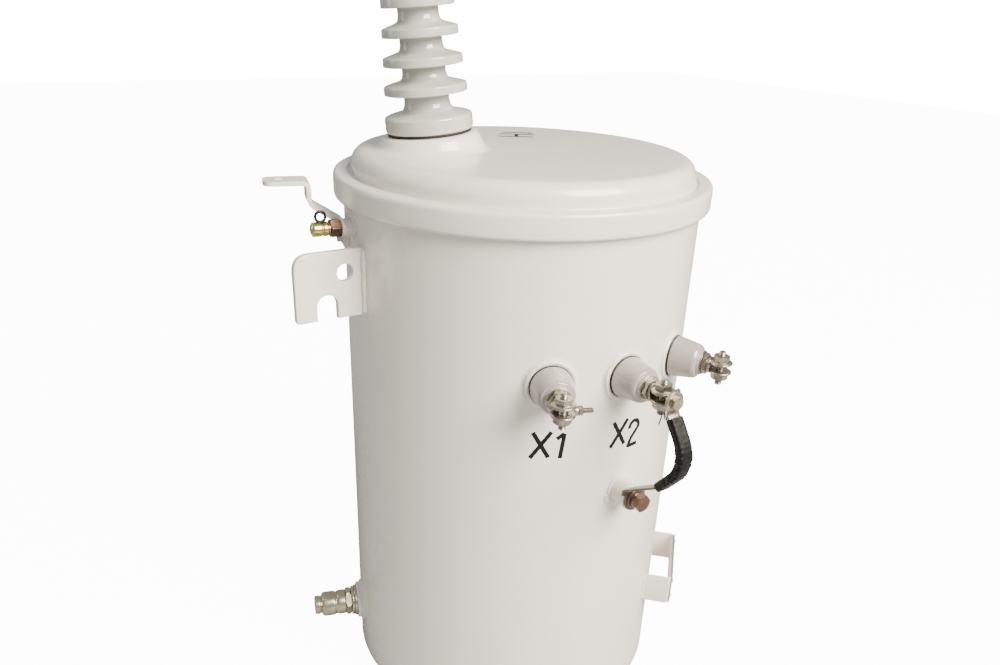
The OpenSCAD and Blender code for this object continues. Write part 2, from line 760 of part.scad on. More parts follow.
// Lifting lug: plate with a sling notch below and a hole above it
module lifting_lug(a) {
    e = lift_edge_r;
    outer = tank_r + lift_out;
    color(steel_c) difference() {
        upright(a) linear_extrude(lift_t, center = true) difference() {
            union() {
                translate([tank_r - weld_r, lift_z]) square([lift_out + weld_r - e, lift_h]);
                translate([tank_r - weld_r, lift_z]) square([lift_out + weld_r, lift_h - e]);
                translate([outer - e, lift_z + lift_h - e]) circle(r = e, $fn = fine);
            }
            translate([tank_r + lift_hole_out, lift_z + lift_hole_up]) circle(r = lift_hole_r, $fn = fine);
            translate([tank_r + lift_notch_out, lift_z + lift_notch_up]) circle(r = lift_notch_r, $fn = fine);
            translate([tank_r + lift_notch_out - lift_notch_r, lift_z - eps])
                square([lift_notch_r * 2, lift_notch_up + eps]);
        }
        tank_core();
    }
}

// Support lug at the back: channel on the wall with an open slot for the pole bolt
module support_lug(z) {
    face = tank_r + support_out;
    half = support_w / 2;
    slot_top = slot_l - slot_w / 2;
    color(steel_c) translate([0, 0, z]) difference() {
        linear_extrude(support_h) difference() {
            translate([-half, 0]) square([support_w, face]);
            translate([support_t - half, -eps])
                square([support_w - 2 * support_t, face - support_t + eps]);
            circle(r = tank_r, $fn = fine);
        }
        translate([0, face + support_t, 0]) rotate([90, 0, 0]) linear_extrude(support_t * 3) {
            translate([0, slot_top]) circle(d = slot_w, $fn = fine);
            translate([-slot_w / 2, -eps]) square([slot_w, slot_top + eps]);
        }
    }
}

// Bent bar with a level pad that carries an arrester beside the cover
module arrester_bracket() {
    in_r = tank_r + arrester_out - arrester_t;
    foot_top = arrester_z + arrester_foot_h;
    slope_top = foot_top + (arrester_out - arrester_t) * 0.62;
    pad_z = arrester_z + arrester_h;
    low_z = pad_z - arrester_t;
    fold = arrester_t * 0.55;
    color(steel_c) difference() {
        upright(arrester_a) linear_extrude(arrester_w, center = true)
            polygon([[tank_r, arrester_z], [tank_r + arrester_t, arrester_z],
                [tank_r + arrester_t, foot_top - fold], [in_r + arrester_t, slope_top - fold],
                [in_r + arrester_t, low_z], [in_r + arrester_pad_l, low_z],
                [in_r + arrester_pad_l, pad_z], [in_r, pad_z], [in_r, slope_top],
                [tank_r, foot_top]]);
        rotate([0, 0, arrester_a]) translate([0, -in_r - arrester_pad_l * 0.62, low_z - arrester_t])
            cylinder(d = arrester_hole_d, h = arrester_t * 3, $fn = fine);
    }
}

// Hexagon bolt in the foot of the arrester bracket
module arrester_bolt() {
    color(zinc_c) radial(arrester_a, arrester_z + 10, tank_r + arrester_t)
        cylinder(r = 7, h = 6, $fn = hex);
}

// Pressure relief valve with its welded boss and pull ring
module relief_valve() {
    color(brass_c) difference() {
        radial(relief_a, relief_z, tank_r) {
            translate([0, 0, -weld_r]) cylinder(r = relief_boss_r, h = relief_boss_h + weld_r, $fn = fine);
            translate([0, 0, relief_boss_h]) cylinder(r = relief_hex_r, h = relief_hex_h, $fn = hex);
            translate([0, 0, relief_boss_h + relief_hex_h])
                round_disc(relief_r, relief_body_h, relief_wire_r);
            translate([0, relief_r + relief_ring_r, relief_boss_h + relief_hex_h + relief_body_h / 2])
                rotate([0, 90, 0]) rotate_extrude($fn = fine)
                    translate([relief_ring_r, 0]) circle(r = relief_wire_r, $fn = fine);
        }
        tank_core();
    }
}

// Round boss welded on the wall for the drain valve
module drain_boss() {
    color(steel_c) difference() {
        radial(drain_a, drain_z, tank_r)
            translate([0, 0, -weld_r]) round_disc(drain_boss_r, drain_boss_h + weld_r, weld_r / 2);
        tank_core();
    }
}

// Drain valve: two collar rings, hexagon, body and end stub
module drain_valve() {
    body_z = 2 * drain_ring_h;
    color(brass_c) radial(drain_a, drain_z, tank_r + drain_boss_h) {
        round_disc(drain_ring_r, drain_ring_h, 1);
        translate([0, 0, drain_ring_h]) round_disc(drain_ring_r - 1.5, drain_ring_h, 1);
        translate([0, 0, body_z]) cylinder(r = drain_hex_r, h = drain_ring_h * 2, $fn = hex);
        translate([0, 0, body_z]) round_disc(drain_r, drain_body_h, 2);
        translate([0, 0, body_z + drain_body_h]) round_disc(drain_stub_r, drain_stub_h, 1);
    }
}

// Strap bent into a wide channel that carries the nameplate
module nameplate_bracket() {
    half = plate_w / 2;
    color(steel_c) difference() {
        rotate([0, 0, plate_a]) translate([0, 0, plate_z]) difference() {
            translate([-half, -plate_y - plate_t, 0]) cube([plate_w, plate_y, plate_h]);
            translate([plate_t - half, -plate_y, -eps])
                cube([plate_w - 2 * plate_t, plate_y * 2, plate_h + 2 * eps]);
        }
        tank_core();
    }
}

// Blank nameplate with its four rivets
module nameplate() {
    rise = (tag_h - plate_h) / 2;
    color(brass_c) radial(plate_a, plate_z, plate_y + plate_t) {
        translate([-tag_w / 2, -rise, 0]) cube([tag_w, tag_h, tag_t]);
        for (sx = [-1, 1], sy = [0.2, 0.8])
            translate([sx * rivet_out, sy * plate_h, tag_t]) cylinder(r = rivet_r, h = rivet_h, $fn = fine);
    }
}

// Middle clamp with the pad for the strap lug
module lv_clamp_x2() {
    lv_clamp(0);
    lug_pad();
}

tank_wall();
tank_bottom();
core_and_coils();
cover();
cover_gasket();
cover_band();
cover_band_bolt();
hv_gasket();
hv_bushing();
hv_terminal();
hv_clamp_lower();
hv_clamp_upper();
lv_collar(-1);  // lv_collar_x1
lv_collar(0);  // lv_collar_x2
lv_collar(1);  // lv_collar_x3
lv_gaskets();
lv_bushing(-1);  // lv_bushing_x1
lv_bushing(0);  // lv_bushing_x2
lv_bushing(1);  // lv_bushing_x3
lv_stud(-1);  // lv_stud_x1
lv_stud(0);  // lv_stud_x2
lv_stud(1);  // lv_stud_x3
lv_clamp(-1);  // lv_clamp_x1
lv_clamp_x2();
lv_clamp(1);  // lv_clamp_x3
lv_clamp_bolt(-1);  // lv_clamp_bolt_x1
lv_clamp_bolt(0);  // lv_clamp_bolt_x2
lv_clamp_bolt(1);  // lv_clamp_bolt_x3
ground_boss();
ground_bolt();
ground_lug_top();
ground_lug_screw();
ground_lug_bottom();
ground_strap();
lifting_lug(-90);  // lifting_lug_left
lifting_lug(90);  // lifting_lug_right
support_lug(support_z + support_step);  // support_lug_upper
support_lug(support_z);  // support_lug_lower
arrester_bracket();
arrester_bolt();
relief_valve();
drain_boss();
drain_valve();
nameplate_bracket();
nameplate();
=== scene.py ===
"""Pole mounted transformer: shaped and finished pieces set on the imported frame."""

import logging
import math
from dataclasses import dataclass, replace
from enum import Enum
from typing import Callable, Iterable, Optional, Sequence

import bmesh
import bpy
from mathutils import Matrix, Vector, noise


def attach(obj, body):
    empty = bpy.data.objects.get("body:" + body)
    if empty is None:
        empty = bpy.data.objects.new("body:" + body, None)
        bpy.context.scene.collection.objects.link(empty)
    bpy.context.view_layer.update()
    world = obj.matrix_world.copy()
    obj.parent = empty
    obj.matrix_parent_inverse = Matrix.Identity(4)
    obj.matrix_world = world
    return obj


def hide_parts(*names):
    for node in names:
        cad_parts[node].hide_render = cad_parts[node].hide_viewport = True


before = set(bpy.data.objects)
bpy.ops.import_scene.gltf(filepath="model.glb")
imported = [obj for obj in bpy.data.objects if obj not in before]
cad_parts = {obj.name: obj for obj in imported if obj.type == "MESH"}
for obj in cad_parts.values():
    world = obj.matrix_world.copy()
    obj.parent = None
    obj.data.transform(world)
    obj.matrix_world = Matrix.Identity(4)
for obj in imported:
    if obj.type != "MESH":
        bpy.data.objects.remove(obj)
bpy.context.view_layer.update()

LOG = logging.getLogger("transformer")
MM = 0.001
TAU = math.tau
SHARP_ANGLE = math.radians(32.0)
MERGE = 1e-4
PLAIN = Matrix.Identity(4)

Point2 = tuple[float, float]
Corner = tuple[float, float, float]
Color = tuple[float, float, float]


# ---------------------------------------------------------------- sizes shared by the sub-assemblies


@dataclass(frozen=True)
class Layout:
    """Main sizes of the frame in millimetres and degrees, as the CAD part states them."""

    tank_r: float = 210.0
    wall: float = 3.0
    tank_h: float = 647.0
    rim_h: float = 9.0
    rim_r: float = 217.5
    gasket_t: float = 5.0
    cover_rim_t: float = 9.0
    dome_z: float = 687.0
    dome_r: float = 200.0
    shoulder: float = 16.0
    band_low: float = 635.5
    band_top: float = 663.5
    band_r: float = 220.5
    band_neck_r: float = 205.0
    band_a: float = 130.0
    hv_a: float = -113.0
    hv_r: float = 108.0
    hv_tilt: float = 6.0
    hv_pad_h: float = 18.0
    hv_gasket_t: float = 3.0
    lv_step_a: float = 24.5
    lv_z: float = 480.0
    lv_collar: float = 2.5
    lv_foot: float = 4.5
    lv_tip: float = 38.0
    lv_nut_top: float = 45.0
    lv_bolt_z: float = 59.0
    ground_z: float = 333.0
    ground_x: float = 11.5
    ground_h: float = 24.0
    lug_plane: float = 74.5


SIZES = Layout()


# ---------------------------------------------------------------- placing


def shift(x: float, y: float, z: float) -> Matrix:
    """Translation in millimetres."""
    return Matrix.Translation((x, y, z))


def turn(degrees: float, axis: str) -> Matrix:
    """Rotation about a named axis."""
    return Matrix.Rotation(math.radians(degrees), 4, axis)


def radial(azimuth: float, z: float, r: float) -> Matrix:
    """Place on the tank wall: local z outwards, y up, x along the wall."""
    return turn(azimuth, "Z") @ shift(0, -r, z) @ turn(90, "X")


def upright(azimuth: float) -> Matrix:
    """Plane through the tank axis: local x outwards, y up."""
    return turn(azimuth, "Z") @ turn(-90, "Z") @ turn(90, "X")


def on_pad(lift: float = 0.0) -> Matrix:
    """Place on the leaning pad of the cover, local z along the bushing."""
    base = turn(SIZES.hv_a, "Z") @ shift(0, -SIZES.hv_r, SIZES.dome_z)
    return base @ turn(SIZES.hv_tilt, "X") @ shift(0, 0, lift)


def on_wall(arc: float, z: float, r: float) -> Vector:
    """Point on a cylinder about the tank axis.

    Args:
        arc: Length along the tank wall from the front, in millimetres.
        z: Height.
        r: Radius of the cylinder.

    Returns:
        The point in millimetres.
    """
    a = arc / SIZES.tank_r
    return Vector((r * math.sin(a), -r * math.cos(a), z))


def wall_wave(x: float, y: float, z: float) -> float:
    """How far the rolled wall stands off a true cylinder in a direction."""
    return 0.35 * noise.noise(Vector((x * 1.6, y * 1.6, z * 0.006)))


# ---------------------------------------------------------------- outlines


def rounded(corners: Sequence[Corner], closed: bool = True, steps: int = 5) -> list[Point2]:
    """Outline with each corner eased.

    Args:
        corners: Points as x, y and the length cut back along both edges.
        closed: Whether the last point joins the first.
        steps: Number of chords in each eased corner.

    Returns:
        The points of the eased outline.
    """
    out: list[Point2] = []
    count = len(corners)
    for i, (x, y, cut) in enumerate(corners):
        here = Vector((x, y))
        if cut <= 0 or (not closed and i in (0, count - 1)):
            out.append((x, y))
            continue
        before = Vector(corners[i - 1][:2]) - here
        after = Vector(corners[(i + 1) % count][:2]) - here
        reach = min(cut, before.length * 0.49, after.length * 0.49)
        a, b = here + before.normalized() * reach, here + after.normalized() * reach
        for k in range(steps + 1):
            t = k / steps
            p = a * (1 - t) ** 2 + here * 2 * t * (1 - t) + b * t * t
            out.append((p.x, p.y))
    return out


def bar_section(width: float, thick: float, ease: float) -> list[Point2]:
    """Rounded rectangle for a swept bar, width along its side vector."""
    w, t = width / 2, thick / 2
    return rounded([(-w, -t, ease), (w, -t, ease), (w, t, ease), (-w, t, ease)], steps=3)


def circle(radius: float, steps: int, x: float = 0.0, y: float = 0.0) -> list[Point2]:
    """Points round a circle about a centre."""
    angles = [TAU * k / steps for k in range(steps)]
    return [(x + radius * math.cos(a), y + radius * math.sin(a)) for a in angles]


def arc_points(centre: Point2, radii: Point2, degrees: Iterable[float]) -> list[Point2]:
    """Points of an arc.

    Args:
        centre: Centre of the arc.
        radii: Half widths along x and y; a negative one mirrors the arc.
        degrees: Angle of each point.

    Returns:
        The points of the arc.
    """
    angles = [math.radians(a) for a in degrees]
    return [(centre[0] + radii[0] * math.cos(a), centre[1] + radii[1] * math.sin(a)) for a in angles]


def divided(line: Sequence[Point2], step: float, closed: bool = False) -> list[Point2]:
    """Line with more points along its straight parts.

    Args:
        line: Points of the line.
        step: Length that a part is divided by.
        closed: Whether the last point joins the first.

    Returns:
        The points of the divided line.
    """
    out: list[Point2] = []
    for (x, y), (nx, ny) in zip(line, [*line[1:], line[0]] if closed else line[1:]):
        parts = max(1, int(math.hypot(nx - x, ny - y) / step))
        out += [(x + (nx - x) * i / parts, y + (ny - y) * i / parts) for i in range(parts)]
    return out if closed else [*out, line[-1]]


# ---------------------------------------------------------------- meshes


def added(name: str, data: bpy.types.ID) -> bpy.types.Object:
    """New object in the scene's own collection."""
    item = bpy.data.objects.new(name, data)
    bpy.context.scene.collection.objects.link(item)
    return item


def evaluated(holder: bpy.types.Object) -> bpy.types.Mesh:
    """Mesh of an object with its curve settings and modifiers applied."""
    return bpy.data.meshes.new_from_object(holder.evaluated_get(bpy.context.evaluated_depsgraph_get()))


class Shape:
    """Closed shells of one piece, gathered in millimetres in the object's frame."""

    def __init__(self, name: str) -> None:
        """Start an empty piece."""
        self.name = name
        self.mesh = bmesh.new()

    def corner(self, point: Sequence[float]) -> bmesh.types.BMVert:
        """Add a point of the mesh."""
        return self.mesh.verts.new(point)

    def skin(self, rings: list[list[bmesh.types.BMVert]], slot: int = 0, wrap: bool = True) -> None:
        """Join rings of equal length with quads.

        Args:
            rings: Rings of mesh points.
            slot: Material index.
            wrap: Whether the last ring joins the first.
        """
        total = len(rings)
        for i in range(total if wrap else total - 1):
            a, b = rings[i], rings[(i + 1) % total]
            size = len(a)
            for k in range(size):
                m = (k + 1) % size
                self._face((a[k], a[m], b[m], b[k]), slot)

    def tube(self, rings: list[list[bmesh.types.BMVert]], slot: int = 0) -> None:
        """Join rings in a row and close both ends."""
        self.skin(rings, slot, wrap=False)
        self._face(list(reversed(rings[0])), slot)
        self._face(rings[-1], slot)

    def merge(self, verts: Sequence[bmesh.types.BMVert]) -> None:
        """Merge points that lie in one place."""
        bmesh.ops.remove_doubles(self.mesh, verts=verts, dist=MERGE)

    def _face(self, corners: Sequence[bmesh.types.BMVert], slot: int) -> None:
        """Add a smooth face."""
        face = self.mesh.faces.new(corners)
        face.material_index = slot
        face.smooth = True

    def _turned(
        self, sides: int, column: Callable[[float], Sequence[Point2]], place: Matrix, slot: int
    ) -> "Shape":
        """Skin columns of points that stand round local z.

        Args:
            sides: Number of columns.
            column: Gives radius and height of a column's points for its angle.
            place: Where the axis goes.
            slot: Material index.

        Returns:
            This shape, for chained calls.
        """
        columns = []
        for k in range(sides):
            a = TAU * k / sides
            x, y = math.cos(a), math.sin(a)
            columns.append([self.corner(place @ Vector((r * x, r * y, z))) for r, z in column(a)])
        self.skin(columns, slot)
        self.merge([corner for ring in columns for corner in ring])
        return self

    def lathe(
        self,
        outline: Sequence[Point2],
        place: Matrix,
        sides: int = 96,
        slot: int = 0,
        warp: Optional[Callable[[float, float, float], Point2]] = None,
    ) -> "Shape":
        """Turn a closed half outline about local z.

        Args:
            outline: Closed outline as radius and height; points on the axis are merged.
            place: Where the lathe axis goes.
            sides: Number of facets round the axis.
            slot: Material index.
            warp: Changes radius and height for an angle, for uneven surfaces.

        Returns:
            This shape, for chained calls.
        """

        def column(angle: float) -> Sequence[Point2]:
            """The outline at an angle."""
            return [warp(angle, r, z) for r, z in outline] if warp else outline

        return self._turned(sides, column, place, slot)

    def sweep(
        self,
        path: Sequence[Vector],
        side: Vector,
        section: Sequence[Point2],
        slot: int = 0,
        scale: Optional[Callable[[float, float], float]] = None,
    ) -> "Shape":
        """Carry a section along a path.

        Args:
            path: Points of the centre line.
            side: Direction of the section's x axis, square to the path.
            section: Closed section outline.
            slot: Material index.
            scale: Swells the section for a place along the path and an angle round it.

        Returns:
            This shape, for chained calls.
        """
        rings = []
        count = len(path)
        for i, point in enumerate(path):
            ahead = path[min(i + 1, count - 1)] - path[max(i - 1, 0)]
            across = side.normalized()
            up = ahead.normalized().cross(across).normalized()
            across = up.cross(ahead.normalized())
            ring = []
            for k, (x, y) in enumerate(section):
                grow = scale(i / (count - 1), TAU * k / len(section)) if scale else 1.0
                ring.append(self.corner(point + across * x * grow + up * y * grow))
            rings.append(ring)
        self.tube(rings, slot)
        return self

    def loop(self, path: Sequence[Vector], section: Sequence[Point2], slot: int = 0) -> "Shape":
        """Carry a section round a closed path, for beads and rings."""
        rings = []
        count = len(path)
        centre = sum(path, Vector()) / count
        for i, point in enumerate(path):
            ahead = (path[(i + 1) % count] - path[i - 1]).normalized()
            out = point - centre
            out = (out - ahead * out.dot(ahead)).normalized()
            up = ahead.cross(out)
            swell = 1.0 + 0.05 * math.sin(i * 1.3) + 0.07 * math.sin(i * 0.31)
            rings.append([self.corner(point + (out * x + up * y) * swell) for x, y in section])
        self.skin(rings, slot)
        return self

    def hexagon(
        self, flats: float, height: float, place: Matrix, slot: int = 0, bore: float = 0.0
    ) -> "Shape":
        """Nut or bolt head with chamfered corners.

        Args:
            flats: Size across the flats.
            height: Height along local z.
            place: Where the foot centre goes.
            slot: Material index.
            bore: Radius of the hole, or 0 for none.

        Returns:
            This shape, for chained calls.
        """
        inner = flats / 2
        face_r = inner * 0.97
        chamfer_r = inner * 0.985

        def column(angle: float) -> Sequence[Point2]:
            """Outline of the nut at an angle, with the corners cut back."""
            r = inner / math.cos(angle % (TAU / 6) - TAU / 12)
            drop = (r - chamfer_r) * 0.6
            end = height - drop
            return [(bore, 0.0), (face_r, 0.0), (r, drop), (r, end), (face_r, height), (bore, height)]

        return self._turned(72, column, place, slot)

    def thread(self, radius: float, pitch: float, length: float, place: Matrix, slot: int = 0) -> "Shape":
        """Threaded rod with a real helix and a chamfered end."""
        rows = max(8, int(length / pitch * 8))
        depth = pitch * 0.45
        chamfer = pitch * 0.6
        run_out = pitch * 0.8

        def column(angle: float) -> Sequence[Point2]:
            """Outline of the rod at an angle, from the axis out and back to it."""
            points = [(0.0, 0.0)]
            for j in range(rows + 1):
                z = length * j / rows
                ridge = abs((z / pitch - angle / TAU) % 1.0 * 2 - 1)
                fade = min(1.0, (length - z) / run_out)
                points.append((radius - depth * (1 - ridge) - (1 - fade) * chamfer, z))
            return [*points, (0.0, length)]

        return self._turned(32, column, place, slot)

    def plate(
        self,
        outline: Sequence[Point2],
        holes: Iterable[Sequence[Point2]],
        thick: float,
        ease: float,
        place: Matrix,
    ) -> "Shape":
        """Flat plate with eased edges, from a 2D curve.

        Args:
            outline: Outer edge in local x and y.
            holes: Edges of the holes.
            thick: Thickness, from local z 0 upwards.
            ease: Size of the eased edge.
            place: Where the plate goes.

        Returns:
            This shape, for chained calls.
        """
        curve = bpy.data.curves.new("plate_edge", "CURVE")
        curve.dimensions = "2D"
        curve.fill_mode = "BOTH"
        curve.extrude = thick / 2 - ease
        curve.bevel_depth = ease
        curve.offset = -ease
        curve.bevel_resolution = 2
        for edge in [outline, *holes]:
            spline = curve.splines.new("POLY")
            spline.points.add(len(edge) - 1)
            for point, (x, y) in zip(spline.points, edge):
                point.co = (x, y, 0, 1)
            spline.use_cyclic_u = True
        holder = added("plate_edge", curve)
        flat = evaluated(holder)
        bpy.data.objects.remove(holder)
        bpy.data.curves.remove(curve)
        flat.transform(place @ shift(0, 0, thick / 2))
        flat.shade_smooth()
        self.mesh.from_mesh(flat)
        bpy.data.meshes.remove(flat)
        self.merge(self.mesh.verts)
        return self

    def prism(self, outline: Sequence[Point2], low: float, high: float, place: Matrix) -> "Shape":
        """Straight prism on an outline, from one local height to another."""
        self.tube([[self.corner(place @ Vector((x, y, z))) for x, y in outline] for z in (low, high)])
        return self

    def carved(self, cutter: "Shape", ease: float) -> "Shape":
        """Cut another shape out of this one and ease the sharp edges.

        Args:
            cutter: Shape that is taken away and used up.
            ease: Width of the eased edges.

        Returns:
            This shape, for chained calls.
        """
        holders = []
        for shape in (self, cutter):
            bmesh.ops.recalc_face_normals(shape.mesh, faces=shape.mesh.faces)
            data = bpy.data.meshes.new(shape.name)
            shape.mesh.to_mesh(data)
            shape.mesh.free()
            holders.append(added(shape.name, data))
        cut = holders[0].modifiers.new("cut", "BOOLEAN")
        cut.operation = "DIFFERENCE"
        cut.solver = "EXACT"
        cut.object = holders[1]
        result = evaluated(holders[0])
        self.mesh = bmesh.new()
        self.mesh.from_mesh(result)
        bpy.data.meshes.remove(result)
        for holder in holders:
            data = holder.data
            bpy.data.objects.remove(holder)
            bpy.data.meshes.remove(data)
        pairs = [edge for edge in self.mesh.edges if len(edge.link_faces) == 2]
        bmesh.ops.bevel(
            self.mesh,
            geom=[edge for edge in pairs if edge.calc_face_angle() > SHARP_ANGLE],
            offset=ease,
            offset_type="OFFSET",
            segments=3,
            profile=0.5,
            affect="EDGES",
            clamp_overlap=True,
        )
        for face in self.mesh.faces:
            face.smooth = True
        return self

    def block(self, low: Corner, high: Corner, ease: float, place: Matrix) -> "Shape":
        """Block with eased edges between two corners."""
        section = [(low[0], low[1]), (high[0], low[1]), (high[0], high[1]), (low[0], high[1])]
        eased = rounded([(x, y, ease) for x, y in section], steps=3)
        return self.plate(eased, (), high[2] - low[2], ease * 0.8, place @ shift(0, 0, low[2]))

    def finished(
        self, slot_name: str, materials: Sequence[bpy.types.Material], *nodes: str
    ) -> bpy.types.Object:
        """Turn the shells into an object that rides on the frame.

        Args:
            slot_name: The record's material slot; not used.
            materials: Materials by index.
            nodes: CAD nodes that this piece stands for.

        Returns:
            The new object.
        """
        bmesh.ops.recalc_face_normals(self.mesh, faces=self.mesh.faces)
        self.mesh.transform(Matrix.Scale(MM, 4))
        data = bpy.data.meshes.new(self.name)
        self.mesh.to_mesh(data)
        self.mesh.free()
        for material in materials:
            data.materials.append(material)
        data.set_sharp_from_angle(angle=SHARP_ANGLE)
        piece = added(self.name, data)
        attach(piece, "root")
        if nodes:
            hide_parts(*nodes)
        LOG.info("made %s with %d faces", self.name, len(data.polygons))
        return piece


def ring_on_wall(azimuth: float, z: float, radius: float, steps: int) -> list[Vector]:
    """Closed path where a round boss meets the tank wall."""
    spin = turn(azimuth, "Z")
    depth = SIZES.tank_r**2
    return [spin @ Vector((x, -math.sqrt(depth - x * x), z + y)) for x, y in circle(radius, steps)]


def bead(radius: float) -> list[Point2]:
    """Low rounded section of a weld bead."""
    return [(x * 1.15, y) for x, y in circle(radius, 8)]


def weld_line(shape: Shape, start: Vector, end: Vector, radius: float) -> None:
    """Rippled weld bead between two points.

    Args:
        shape: The piece that gets the bead.
        start: First end.
        end: Last end.
        radius: Half width of the bead.
    """
    length = (end - start).length
    count = max(8, int(length / 1.1))
    path = [start.lerp(end, k / count) for k in range(count + 1)]
    along = (end - start).normalized()
    side = along.orthogonal()

    def ripple(t: float, _angle: float) -> float:
        """Swell of the bead along its length."""
        s = t * length
        taper = min(1.0, 0.35 + 4.0 * min(t, 1 - t) * length / 20.0)
        return taper * (1.0 + 0.05 * math.sin(s * 1.9) + 0.10 * math.sin(s * 0.23 + 1.0))

    shape.sweep(path, side, bead(radius), scale=ripple)


def weld_pair(
    shape: Shape, middle: float, reach: float, low: float, high: float, lift: float, radius: float
) -> None:
    """Upright weld beads on the wall at both sides of a piece.

    Args:
        shape: The piece that gets the beads.
        middle: Arc length of the piece's middle from the front.
        reach: Arc length from the middle to each bead.
        low: Height of the lower ends.
        high: Height of the upper ends.
        lift: How far the beads' centres stand off the wall.
        radius: Half width of the beads.
    """
    r = SIZES.tank_r + lift
    for at in (middle - reach, middle + reach):
        weld_line(shape, on_wall(at, low, r), on_wall(at, high, r), radius)


# ---------------------------------------------------------------- shader node groups


class GroupMaker:
    """Short way to build a shader node group with named sockets."""

    def __init__(self, name: str) -> None:
        """Start an empty group."""
        self.tree = bpy.data.node_groups.new(name, "ShaderNodeTree")
        self.nodes = self.tree.nodes
        self.inp = self.nodes.new("NodeGroupInput")
        self.out = self.nodes.new("NodeGroupOutput")

    def number(self, name: str, value: float) -> None:
        """Add a number input with its default."""
        socket = self.tree.interface.new_socket(name, in_out="INPUT", socket_type="NodeSocketFloat")
        socket.default_value = value

    def tint(self, name: str, value: Color) -> None:
        """Add a colour input with its default."""
        socket = self.tree.interface.new_socket(name, in_out="INPUT", socket_type="NodeSocketColor")
        socket.default_value = (*value, 1.0)

    def given(self, name: str) -> bpy.types.NodeSocket:
        """The value of an input inside the group."""
        return self.inp.outputs[name]

    def give(self, name: str, source: bpy.types.NodeSocket) -> None:
        """Add an output, a colour or a number by its name, and feed it."""
        kind = "NodeSocketColor" if name == "Color" else "NodeSocketFloat"
        self.tree.interface.new_socket(name, in_out="OUTPUT", socket_type=kind)
        self.link(source, self.out.inputs[name])

    def link(self, source: bpy.types.NodeSocket, target: bpy.types.NodeSocket) -> None:
        """Join two sockets."""
        self.tree.links.new(source, target)

    def math(
        self, operation: str, a: bpy.types.NodeSocket, b: object, clamp: bool = False
    ) -> bpy.types.NodeSocket:
        """Math node.

        Args:
            operation: Blender's name of the operation.
            a: First value.
            b: Second value, a number or a socket.
            clamp: Whether the result is held between 0 and 1.

        Returns:
            The result socket.
        """
        made = self.nodes.new("ShaderNodeMath")
        made.operation = operation
        made.use_clamp = clamp
        self.link(a, made.inputs[0])
        if isinstance(b, bpy.types.NodeSocket):
            self.link(b, made.inputs[1])
        else:
            made.inputs[1].default_value = b
        return made.outputs[0]

    def noise(
        self, scale: bpy.types.NodeSocket, detail: float, rough: float, stretch: Corner = (1, 1, 1)
    ) -> bpy.types.NodeSocket:
        """Noise in the object's own space.

        Args:
            scale: The noise scale.
            detail: Octaves.
            rough: Roughness of the octaves.
            stretch: Scale of the space along each axis.

        Returns:
            The noise value socket.
        """
        coord = self.nodes.new("ShaderNodeTexCoord")
        mapping = self.nodes.new("ShaderNodeMapping")
        mapping.inputs["Scale"].default_value = stretch
        self.link(coord.outputs["Object"], mapping.inputs["Vector"])
        made = self.nodes.new("ShaderNodeTexNoise")
        self.link(mapping.outputs["Vector"], made.inputs["Vector"])
        self.link(scale, made.inputs["Scale"])
        made.inputs["Detail"].default_value = detail
        made.inputs["Roughness"].default_value = rough
        return made.outputs["Fac"]

    def spread(self, value: bpy.types.NodeSocket, low: float, high: float) -> bpy.types.NodeSocket:
        """Map a range of a value to 0 to 1, smoothly."""
        made = self.nodes.new("ShaderNodeMapRange")
        made.interpolation_type = "SMOOTHSTEP"
        self.link(value, made.inputs["Value"])
        made.inputs["From Min"].default_value = low
        made.inputs["From Max"].default_value = high
        return made.outputs["Result"]

    def mix(self, factor: bpy.types.NodeSocket, a: str, b: str) -> bpy.types.NodeSocket:
        """Mix two colour inputs of the group."""
        made = self.nodes.new("ShaderNodeMix")
        made.data_type = "RGBA"
        for index, value in ((0, factor), (6, self.given(a)), (7, self.given(b))):
            self.link(value, made.inputs[index])
        return made.outputs[2]


